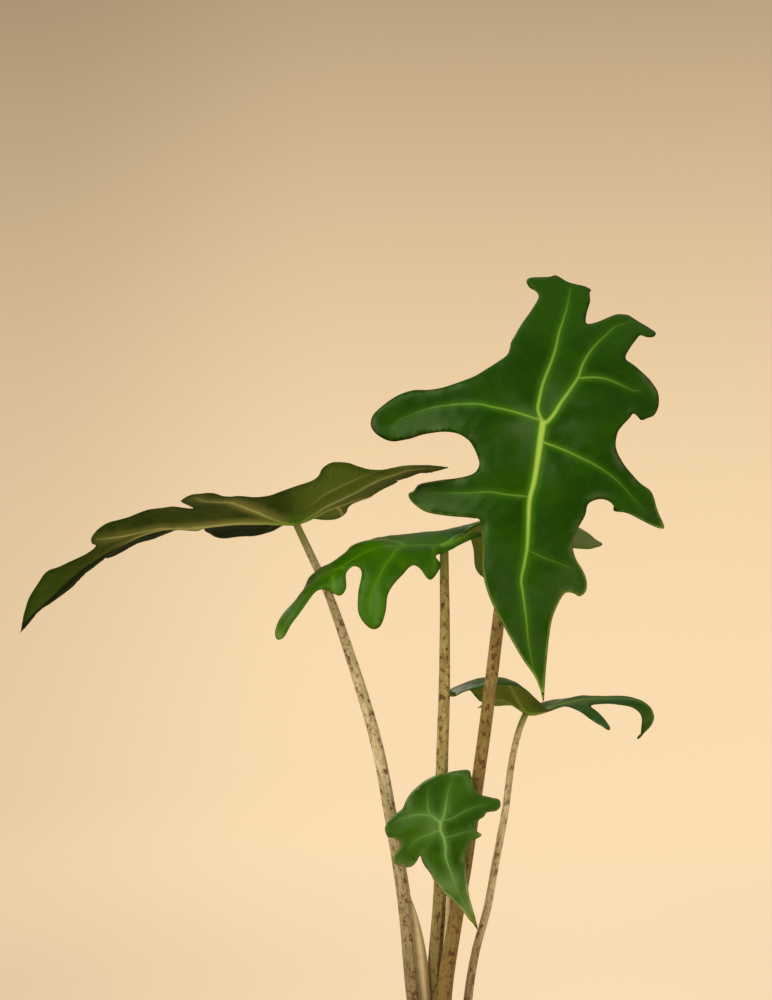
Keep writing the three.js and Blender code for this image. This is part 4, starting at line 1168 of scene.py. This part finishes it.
def crown_piece():
    """Short root stock with the rings that old leaves leave."""
    radius, foot, top = CROWN["radius"], CROWN["foot"], CROWN["top"]
    side = [(radius * share, foot + level) for share, level in CROWN["profile"]]
    profile = divided([(0, foot)] + side + [(0, foot + top)], 1.2)

    def wobble(reach, angle, level):
        """Dents, and the uneven rings of the scars."""
        spot = Vector((math.cos(angle) * 1.6, math.sin(angle) * 1.6, level / 10))
        scar = math.sin(level * CROWN["scar_turns"] + 2 * noise.noise(spot))
        return CROWN["dent"] * noise.noise(spot * 2.5) + CROWN["scar"] * scar * min(1, reach / radius)

    points, faces = turned(profile, CROWN["sides"], wobble)
    return new_piece("root_stock", points, faces, crown_material(), "crown")


def soil_height(radius, angle):
    """The mix's wavy surface, which sinks towards the wall."""
    waves = math.sin(3 * angle + 0.05 * radius) + math.cos(5 * angle - 0.11 * radius)
    sunk = SOIL["hollow"] * (radius / inner_radius(SOIL["surface"])) ** 2
    return SOIL["surface"] + SOIL["unevenness"] / 2 * waves - sunk


def lump(size, sides, seed, sharp):
    """Points and faces of one rough lump: a squashed ball of few faces, pushed in and out at random."""
    draw = random.Random(seed)
    rings = [(-0.92, 0.35), (-0.35, 0.95), (0.4, 0.9), (0.95, 0.3)]
    points = []
    for height, radius in rings:
        for j in range(sides):
            angle = 2 * math.pi * (j + 0.3 * draw.random()) / sides
            push = 1 - sharp * draw.random()
            points.append(polar(radius * push, angle, height * push))
    faces = [tuple(reversed(range(sides))), tuple(range(3 * sides, 4 * sides))]
    return np.array(points) * np.array(size) / 2, faces + ring_faces(len(rings), sides)


def tumbled(points, draw, tilt):
    """Turns a lump about the three axes, by a small tilt about the level ones."""
    angles = [draw.uniform(-tilt, tilt), draw.uniform(-tilt, tilt), draw.uniform(0, 360)]
    for axle, angle in zip(np.eye(3), angles):
        points = np.array([turn_about(point, axle, angle) for point in points])
    return points


def soil_piece():
    """Bark mix: a crumbly heap with flakes of bark, grains and pale grit lying on it."""
    draw = random.Random(SEED)
    slack, floor, bevel, surface = SOIL["slack"], POT["floor"], POT["floor_bevel"], SOIL["surface"]
    rim = inner_radius(surface) - slack
    foot = floor + slack
    points, faces, kinds = [], [], []

    def add(new_points, new_faces, kind):
        base = len(points)
        points.extend(map(tuple, new_points))
        faces.extend(tuple(base + corner for corner in face) for face in new_faces)
        kinds.extend([kind] * len(new_points))

    profile = [
        (0, foot),
        (inner_radius(floor) - bevel - slack, foot),
        (inner_radius(foot + bevel) - slack, foot + bevel),
        (rim, surface - SOIL["shoulder"]),
    ]
    profile += [(i / SOIL["rings"] * rim, 0) for i in range(SOIL["rings"], -1, -1)]
    heap, heap_faces = turned(profile, SOIL["sides"])
    for spot in heap:
        if spot[2] > 0:
            continue
        x, y, radius = spot[0], spot[1], math.hypot(spot[0], spot[1])
        crumbs = sum(size * noise.noise(Vector((x, y, 0)) / span) for size, span in SOIL["crumbs"])
        spot[2] = soil_height(radius, math.atan2(y, x)) + crumbs * smooth_rim(radius, rim)
    add(heap, heap_faces, 0)

    def scatter(count, sizes, sides, sharp, tilt, sink, kind):
        """Lays lumps between the crown and the wall, sunk into the heap by a share of their height."""
        inner, outer = CROWN["radius"] + SOIL["crown_gap"], rim - SOIL["wall_gap"]
        for _ in range(count):
            size = [draw.uniform(*span) for span in sizes]
            radius = math.sqrt(draw.uniform(inner ** 2, outer ** 2))
            angle = draw.uniform(0, 2 * math.pi)
            shape, shape_faces = lump(size, sides, draw.random(), sharp)
            shape = tumbled(shape, draw, tilt)
            height = soil_height(radius, angle) + size[2] * (0.5 - sink)
            shape += polar(radius, angle, height)
            add(shape, shape_faces, kind + draw.random() * 0.9)

    chip = SOIL["chip_length"], SOIL["chip_width"], SOIL["chip_thickness"]
    scatter(SOIL["chips"], chip, sides=7, sharp=0.3, tilt=20, sink=0.3, kind=1)
    scatter(SOIL["grains"], (SOIL["grain_size"],) * 3, sides=5, sharp=0.35, tilt=60, sink=0.3, kind=2)
    scatter(SOIL["pearls"], (SOIL["pearl_size"],) * 3, sides=6, sharp=0.25, tilt=60, sink=0.2, kind=3)
    return new_piece("bark_mix", points, faces, soil_material(), "soil", {"kind": kinds})


def smooth_rim(radius, rim):
    """Fades the crumbs out towards the pot's wall and the crown."""
    outer = min(1, max(0, (rim - radius) / SOIL["crumb_fade"]))
    inner = min(1, max(0, (radius - CROWN["radius"]) / SOIL["crumb_fade"]))
    return outer * inner


# Materials

class Shader:
    """One material's nodes. A socket or a plain value can be given wherever a value is asked for."""

    def __init__(self, name):
        self.material = bpy.data.materials.new(name)
        self.material.use_nodes = True
        self.tree = self.material.node_tree
        self.surface = self.tree.nodes["Principled BSDF"]

    def feed(self, socket, value):
        """Links a socket, or sets a plain value."""
        if isinstance(value, bpy.types.NodeSocket):
            self.tree.links.new(value, socket)
        elif socket.type == "RGBA":
            socket.default_value = (*value, 1)
        else:
            socket.default_value = value

    def node(self, kind, inputs, **settings):
        made = self.tree.nodes.new(kind)
        for key, value in settings.items():
            setattr(made, key, value)
        for key, value in inputs.items():
            self.feed(made.inputs[key], value)
        return made

    def math(self, operation, *values):
        return self.node("ShaderNodeMath", dict(enumerate(values)), operation=operation).outputs[0]

    def times(self, a, b):
        return self.math("MULTIPLY", a, b)

    def step(self, value, low, high, start=0.0, end=1.0):
        """A smooth change from one value to another while the given value goes from low to high."""
        inputs = {"Value": value, "From Min": low, "From Max": high, "To Min": start, "To Max": end}
        return self.node("ShaderNodeMapRange", inputs, interpolation_type="SMOOTHSTEP").outputs[0]

    def mix(self, share, a, b):
        return self.node("ShaderNodeMix", {0: share, 6: a, 7: b}, data_type="RGBA").outputs[2]

    def value(self, name):
        return self.node("ShaderNodeAttribute", {}, attribute_name=name).outputs["Fac"]

    def vector(self, name):
        return self.node("ShaderNodeAttribute", {}, attribute_name=name).outputs["Vector"]

    def place(self):
        return self.node("ShaderNodeTexCoord", {}).outputs["Object"]

    def split(self, vector):
        return self.node("ShaderNodeSeparateXYZ", {"Vector": vector}).outputs

    def noise(self, vector, scale, detail=3.0, roughness=0.55):
        inputs = {"Vector": vector, "Scale": scale, "Detail": detail, "Roughness": roughness}
        return self.node("ShaderNodeTexNoise", inputs).outputs[0]

    def stretch(self, vector, scale, place=(0, 0, 0)):
        inputs = {"Vector": vector, "Scale": scale, "Location": place}
        return self.node("ShaderNodeMapping", inputs).outputs[0]

    def bump(self, height, strength, distance):
        inputs = {"Height": height, "Strength": strength, "Distance": distance * MM}
        return self.node("ShaderNodeBump", inputs).outputs[0]

    def finish(self, **inputs):
        """Feeds the surface and returns the finished material."""
        for key, value in inputs.items():
            self.feed(self.surface.inputs[key.replace("_", " ")], value)
        return self.material


def blade_maps(s):
    """What a blade's colours go by: its veins, its edge, the place on the flat blade, and three noises."""
    skin = s.vector("skin")
    nerve, pale, sure = s.split(s.vector("ladder"))
    forth, side, _ = s.split(skin)
    pulse = s.math("ABSOLUTE", s.math("SUBTRACT", s.math("FRACT", nerve), 0.5))
    return {
        "gap": s.value("gap"),
        "edge": s.value("edge"),
        "reach": s.value("reach"),
        "skin": skin,
        "forth": forth,
        "side": side,
        "pale": pale,
        "line": s.times(s.step(pulse, 0.07, 0.0), sure),
        "broad": s.noise(skin, 0.035, 2.0),
        "fine": s.noise(skin, 0.45, 3.0),
        "patch": s.noise(skin, 0.05, 1.0),
    }


def colour_above(s, tone, maps):
    """Dark green with pale yellow-green veins, painted sheen here and there, and a narrow rim."""
    gap, edge, reach, skin, forth = (maps[key] for key in ("gap", "edge", "reach", "skin", "forth"))
    green = s.mix(s.step(maps["broad"], 0.35, 0.7), tone["deep"], tone["fresh"])
    green = s.mix(s.times(s.step(maps["fine"], 0.4, 0.75), 0.3), green, tone["fresh"])
    green = s.mix(s.step(reach, 0.4, 0.9, 0.0, 0.6), green, tone["fresh"])
    front = s.times(s.step(reach, 0.35, 0.6), s.step(forth, 5.0, 30.0))
    # Painted sheen: a grey-green highlight in patches along the margins and over the front lobe.
    painted_highlight = s.times(s.step(maps["patch"], 0.46, 0.66), s.step(edge, 7.0, 0.5, 0.0, 0.5))
    painted_highlight = s.math("MAXIMUM", painted_highlight, s.times(front, s.step(maps["patch"], 0.3, 0.55, 0.0, tone["sheen"])))
    # Painted highlight: a gleam in patches near the junction.
    gleam = s.times(s.step(reach, 0.24, 0.04), s.step(s.noise(skin, 0.045, 1.0), 0.4, 0.65, 0.0, 0.4))
    green = s.mix(s.math("MAXIMUM", painted_highlight, gleam), green, tone["painted_highlight"])
    green = s.mix(s.step(forth, -50.0, -78.0), green, tone["hind"])
    green = s.mix(s.times(maps["line"], 0.03), green, tone["vein"])
    halo = s.times(s.math("POWER", s.step(gap, 6.0, -0.3), 2.2), maps["pale"])
    green = s.mix(s.times(halo, 0.7), green, tone["halo"])
    vein = s.mix(s.step(gap, 0.0, -1.6), tone["vein"], tone["heart"])
    green = s.mix(s.times(s.step(gap, 0.6, -0.7), maps["pale"]), green, vein)
    worn = s.step(s.noise(skin, 0.05, 2.0), 0.5, 0.62)
    # The pale lip along the front lobe's margin is partly a painted highlight.
    rim = s.mix(front, s.mix(worn, tone["rim"], tone["worn"]), tone["lip"])
    green = s.mix(s.times(s.step(edge, 2.0, 0.4), 0.75), green, rim)
    low, high, colour = tone["tip"]
    return s.mix(s.step(reach, low, high), green, colour)


def colour_below(s, tone, maps):
    """Olive with paler ribs, painted light beside them, painted shade towards the margin and on the far
    half, and a green heart round the stalk.
    """
    gap, edge, reach, forth = (maps[key] for key in ("gap", "edge", "reach", "forth"))
    olive = s.mix(s.step(maps["broad"], 0.3, 0.7), tone["under"], tone["shade"])
    olive = s.mix(s.step(reach, 0.62, 0.95), olive, tone["under_fresh"])
    # Painted shade: the olive darkens towards the margin.
    olive = s.mix(s.times(s.step(edge, 11.0, 1.0), 0.6), olive, tone["shade"])
    # Painted light: the olive is lightened beside each rib.
    near = s.times(s.math("POWER", s.step(gap, 11.0, 0.0), 1.5), maps["pale"])
    olive = s.mix(s.times(near, 0.75), olive, tone["painted_glow"])
    # Painted shade: the far half beyond the midrib turns dark.
    far = s.times(s.step(maps["side"], -2.0, -6.0), s.step(forth, -2.0, 8.0))
    olive = s.mix(far, olive, tone["far"])
    hind = s.times(s.step(forth, 10.0, -14.0, 0.0, 0.8), s.step(forth, -85.0, -35.0))
    olive = s.mix(hind, olive, tone["back"])
    # More painted shade along the margins of the back lobes.
    olive = s.mix(s.times(hind, s.step(edge, 8.0, 0.5, 0.0, 0.55)), olive, tone["shade"])
    olive = s.mix(s.step(reach, 0.10, 0.02), olive, HEART["skin"])
    olive = s.mix(s.times(s.step(maps["fine"], 0.35, 0.7), 0.2), olive, tone["shade"])
    rib = s.mix(s.step(reach, 0.0, 0.2), HEART["rib"], tone["rib"])
    # The painted shade on the far half also hides most of its ribs.
    plain = s.math("SUBTRACT", 1.0, s.times(far, 0.9))
    olive = s.mix(s.times(maps["line"], s.times(plain, 0.05)), olive, rib)
    strong = s.times(s.step(gap, 1.4, -0.6), s.times(maps["pale"], 0.85))
    olive = s.mix(s.times(strong, plain), olive, rib)
    return s.mix(s.times(s.step(edge, 0.9, 0.2), 0.5), olive, tone["under_rim"])


def blade_material(name):
    """Glossy above and satin below, with fine cells and side nerves in the skin."""
    number = list(LEAVES).index(name)
    tone = {key: colours[number] for key, colours in TONES.items()}
    s = Shader(f"blade_{name}")
    maps = blade_maps(s)
    above = s.step(s.value("above"), 0.3, 0.7)
    gloss = s.step(s.value("above"), 0.3, 0.7, 0.8, 0.27)
    cells = s.noise(maps["skin"], 1.6, 2.0)
    grain = s.math("ADD", s.times(cells, 0.6), s.times(maps["line"], -0.5))
    return s.finish(
        Base_Color=s.mix(above, colour_below(s, tone, maps), colour_above(s, tone, maps)),
        Roughness=s.math("ADD", gloss, s.times(maps["fine"], 0.12)),
        Specular_IOR_Level=0.10,
        Specular_Tint=(0.72, 1.0, 0.42),
        Normal=s.bump(grain, 0.35, 0.3),
    )


def stalk_material(name, seed):
    """Pale stalk with maroon-brown flecks, streaked lower down and plain green next to the blade."""
    pale, dull, foot, flecked = STALK_TONES[name]
    s = Shader(f"stalk_{name}")
    skin = s.vector("skin")
    height = s.value("height")
    wander = s.noise(s.stretch(skin, (0.25, 0.25, 0.06), (seed, 0, 0)), 1.0, 3.0)
    colour = s.mix(s.step(wander, 0.35, 0.65), dull, pale)
    colour = s.mix(s.step(height, 0.6, 0.08, 0.0, 0.9), colour, foot)
    streaks = s.noise(s.stretch(skin, (0.9, 0.9, 0.07), (seed, 9, 2)), 1.0, 3.0, 0.6)
    streak = s.times(s.step(streaks, 0.52, 0.64), s.step(height, 0.9, 0.15, 0.1, 0.6))
    colour = s.mix(streak, colour, STALK_MARKS["streak"])
    spots = s.noise(s.stretch(skin, (0.32, 0.32, 0.24), (3 * seed, 5, 0)), 1.0, 3.0, 0.6)
    gone = s.step(height, 1.0, 0.93, 0.0, flecked)
    haze = s.times(s.step(spots, 0.47, 0.58), s.times(gone, 0.4))
    colour = s.mix(haze, colour, STALK_MARKS["haze"])
    specks = s.noise(s.stretch(skin, (0.6, 0.6, 0.45), (seed, 3, 7)), 1.0, 2.0, 0.5)
    speck = s.times(s.step(specks, 0.6, 0.68), s.times(gone, 0.75))
    colour = s.mix(speck, colour, STALK_MARKS["speck"])
    fleck = s.times(s.step(spots, 0.555, 0.63), s.times(gone, 0.92))
    colour = s.mix(fleck, colour, STALK_MARKS["fleck"])
    # The sheath's thin wing is made pale, partly as painted light against the stalk's shade on it.
    colour = s.mix(s.times(s.value("winged"), 0.8), colour, STALK_MARKS["sheath"])
    colour = s.mix(s.step(height, 0.9, 1.0), colour, STALK_MARKS["top"])
    ribs = s.noise(s.stretch(skin, (1.8, 1.8, 0.05)), 1.0, 2.0)
    return s.finish(
        Base_Color=colour,
        Roughness=s.step(wander, 0.2, 0.8, 0.38, 0.5),
        Specular_IOR_Level=0.3,
        Normal=s.bump(ribs, 0.25, 0.3),
    )


def clay_material():
    """Unglazed clay: warm, dusty and faintly banded, with pale lime bloom low down."""
    s = Shader("clay")
    place = s.place()
    height = s.split(place)["Z"]
    cloud = s.noise(place, 26, 4.0)
    bands = s.noise(s.stretch(place, (4, 4, 420)), 1.0, 2.0)
    grit = s.noise(place, 900, 2.0)
    colour = s.mix(s.step(cloud, 0.35, 0.7), *CLAY["shades"])
    colour = s.mix(s.times(s.step(bands, 0.4, 0.7), 0.3), colour, CLAY["band"])
    bloom = s.times(s.step(s.noise(place, 60, 5.0), 0.5, 0.72), s.step(height, 0.09, 0.0, 0.1, 0.55))
    colour = s.mix(bloom, colour, CLAY["bloom"])
    colour = s.mix(s.times(s.step(grit, 0.6, 0.8), 0.3), colour, CLAY["grit"])
    relief = s.math("ADD", s.times(grit, 0.4), s.times(bands, 0.8))
    return s.finish(
        Base_Color=colour,
        Roughness=0.86,
        Specular_IOR_Level=0.3,
        Normal=s.bump(relief, 0.35, 0.4),
    )


def crown_material():
    """Brown, papery root stock with darker rings and fibres."""
    s = Shader("crown")
    place = s.place()
    rings = s.noise(s.stretch(place, (60, 60, 420)), 1.0, 4.0)
    fibres = s.noise(s.stretch(place, (900, 900, 60)), 1.0, 3.0)
    colour = s.mix(s.step(rings, 0.35, 0.65), *ROOT["shades"])
    colour = s.mix(s.times(s.step(fibres, 0.5, 0.7), 0.5), colour, ROOT["fibre"])
    relief = s.math("ADD", rings, s.times(fibres, 0.5))
    rough = s.bump(relief, 0.6, 0.8)
    return s.finish(Base_Color=colour, Roughness=0.8, Specular_IOR_Level=0.3, Normal=rough)


def soil_material():
    """Dark compost, brown bark of several shades, and a little pale grit."""
    s = Shader("bark_mix")
    place = s.place()
    kind = s.value("kind")
    draw = s.math("FRACT", kind)
    grain = s.noise(place, 700, 4.0)
    compost = s.mix(s.step(grain, 0.35, 0.7), *MIX["compost"])
    bark = s.mix(draw, *MIX["bark"])
    bark = s.mix(s.times(s.step(grain, 0.4, 0.65), 0.5), bark, MIX["bark_grain"])
    colour = s.mix(s.math("GREATER_THAN", kind, 0.99), compost, bark)
    grains = s.mix(draw, *MIX["grains"])
    colour = s.mix(s.math("GREATER_THAN", kind, 1.99), colour, grains)
    colour = s.mix(s.math("GREATER_THAN", kind, 2.99), colour, MIX["grit"])
    rough = s.bump(grain, 0.6, 0.5)
    return s.finish(Base_Color=colour, Roughness=0.9, Specular_IOR_Level=0.25, Normal=rough)


# Stage, light and camera

def stage():
    """Plain pale floor that sweeps up into a low round backdrop on every side."""
    curve, steps, sides = STAGE["wall"] - STAGE["flat"], STAGE["curve_steps"], STAGE["sides"]
    profile = [(STAGE["flat"] / 2, 0), (STAGE["flat"], 0)]
    for i in range(1, steps + 1):
        angle = math.pi / 2 * i / steps
        profile.append((STAGE["flat"] + curve * math.sin(angle), curve * (1 - math.cos(angle))))
    profile.append((STAGE["wall"], STAGE["height"]))
    points = [(0, 0, 0)]
    points += [polar(radius, angle, height) for radius, height in profile for angle in turns(sides)]
    faces = [(0, 1 + j, 1 + (j + 1) % sides) for j in range(sides)]
    faces += [face[::-1] for face in ring_faces(len(profile), sides, 1)]
    mesh = bpy.data.meshes.new("floor_sweep")
    mesh.from_pydata(points, [], faces)
    mesh.polygons.foreach_set("use_smooth", [True] * len(mesh.polygons))
    mesh.materials.append(stage_material())
    sweep = bpy.data.objects.new("floor_sweep", mesh)
    bpy.context.collection.objects.link(sweep)


def stage_material():
    """Warm and matt, with a painted glow and painted light and shade: brighter round the pot and duller
    towards the top and the outer sides.
    """
    s = Shader("floor_sweep")
    place = s.place()
    axes = s.split(place)
    level = {0: s.stretch(place, (1, 1, 0))}
    reach = s.node("ShaderNodeVectorMath", level, operation="LENGTH").outputs["Value"]
    # Painted shade: the floor is darker near the pot, more so on the left.
    floor = s.step(reach, 1.0, 2.8, s.step(axes["X"], -0.5, 0.3, 0.57, 0.75), 1.0)
    # Painted light: bright low down and duller towards the top, then darker towards the outer sides.
    painted_light = s.times(s.step(axes["Z"], 0.0, 2.4, 0.9, 0.29), floor)
    for axis, start, end, share in STAGE["painted_shade_fades"]:
        painted_light = s.times(painted_light, s.step(axes[axis], start, end, 1.0, share))
    colour = s.mix(painted_light, (0, 0, 0), STAGE["colour"])
    return s.finish(
        Base_Color=colour,
        Roughness=1.0,
        Specular_IOR_Level=0.0,
        # Painted glow: the sweep gives off light in its own colour, though it is no lamp.
        Emission_Color=colour,
        Emission_Strength=STAGE["painted_glow"],
    )


def area_light(name, place, size, power, colour):
    """A soft square light that points at the plant and isn't seen itself."""
    data = bpy.data.lights.new(name, "AREA")
    data.size = size
    data.energy = power
    data.color = colour
    light = bpy.data.objects.new(name, data)
    light.location = place
    light.rotation_euler = (Vector(LIT_PLACE) - Vector(place)).to_track_quat("-Z", "Y").to_euler()
    light.visible_camera = False
    bpy.context.collection.objects.link(light)


def lights():
    """Three soft lights, and an even one from all round."""
    for name, light in LIGHTS.items():
        area_light(name, *light)
    world = bpy.data.worlds.new("studio")
    world.use_nodes = True
    colour, strength = world.node_tree.nodes["Background"].inputs[:2]
    colour.default_value, strength.default_value = WORLD
    bpy.context.scene.world = world


def camera():
    """Level camera at the photo's distance and angle."""
    data = bpy.data.cameras.new("camera")
    data.sensor_width = SENSOR
    data.lens = SENSOR * -CAMERA_PLACE[1] / (IMAGE_HEIGHT * PIXEL)
    eye = bpy.data.objects.new("camera", data)
    eye.location = CAMERA_PLACE
    eye.rotation_euler = (math.pi / 2, 0, 0)
    bpy.context.collection.objects.link(eye)
    bpy.context.scene.camera = eye
    bpy.context.scene.view_settings.view_transform = "Standard"


camera()
lights()
stage()
pot_piece()
soil_piece()
crown_piece()
for number, (leaf_name, leaf_shape) in enumerate(LEAVES.items()):
    stalk_piece(leaf_name, leaf_shape, number)
    blade_piece(leaf_name, leaf_shape, 10 + 3 * number)
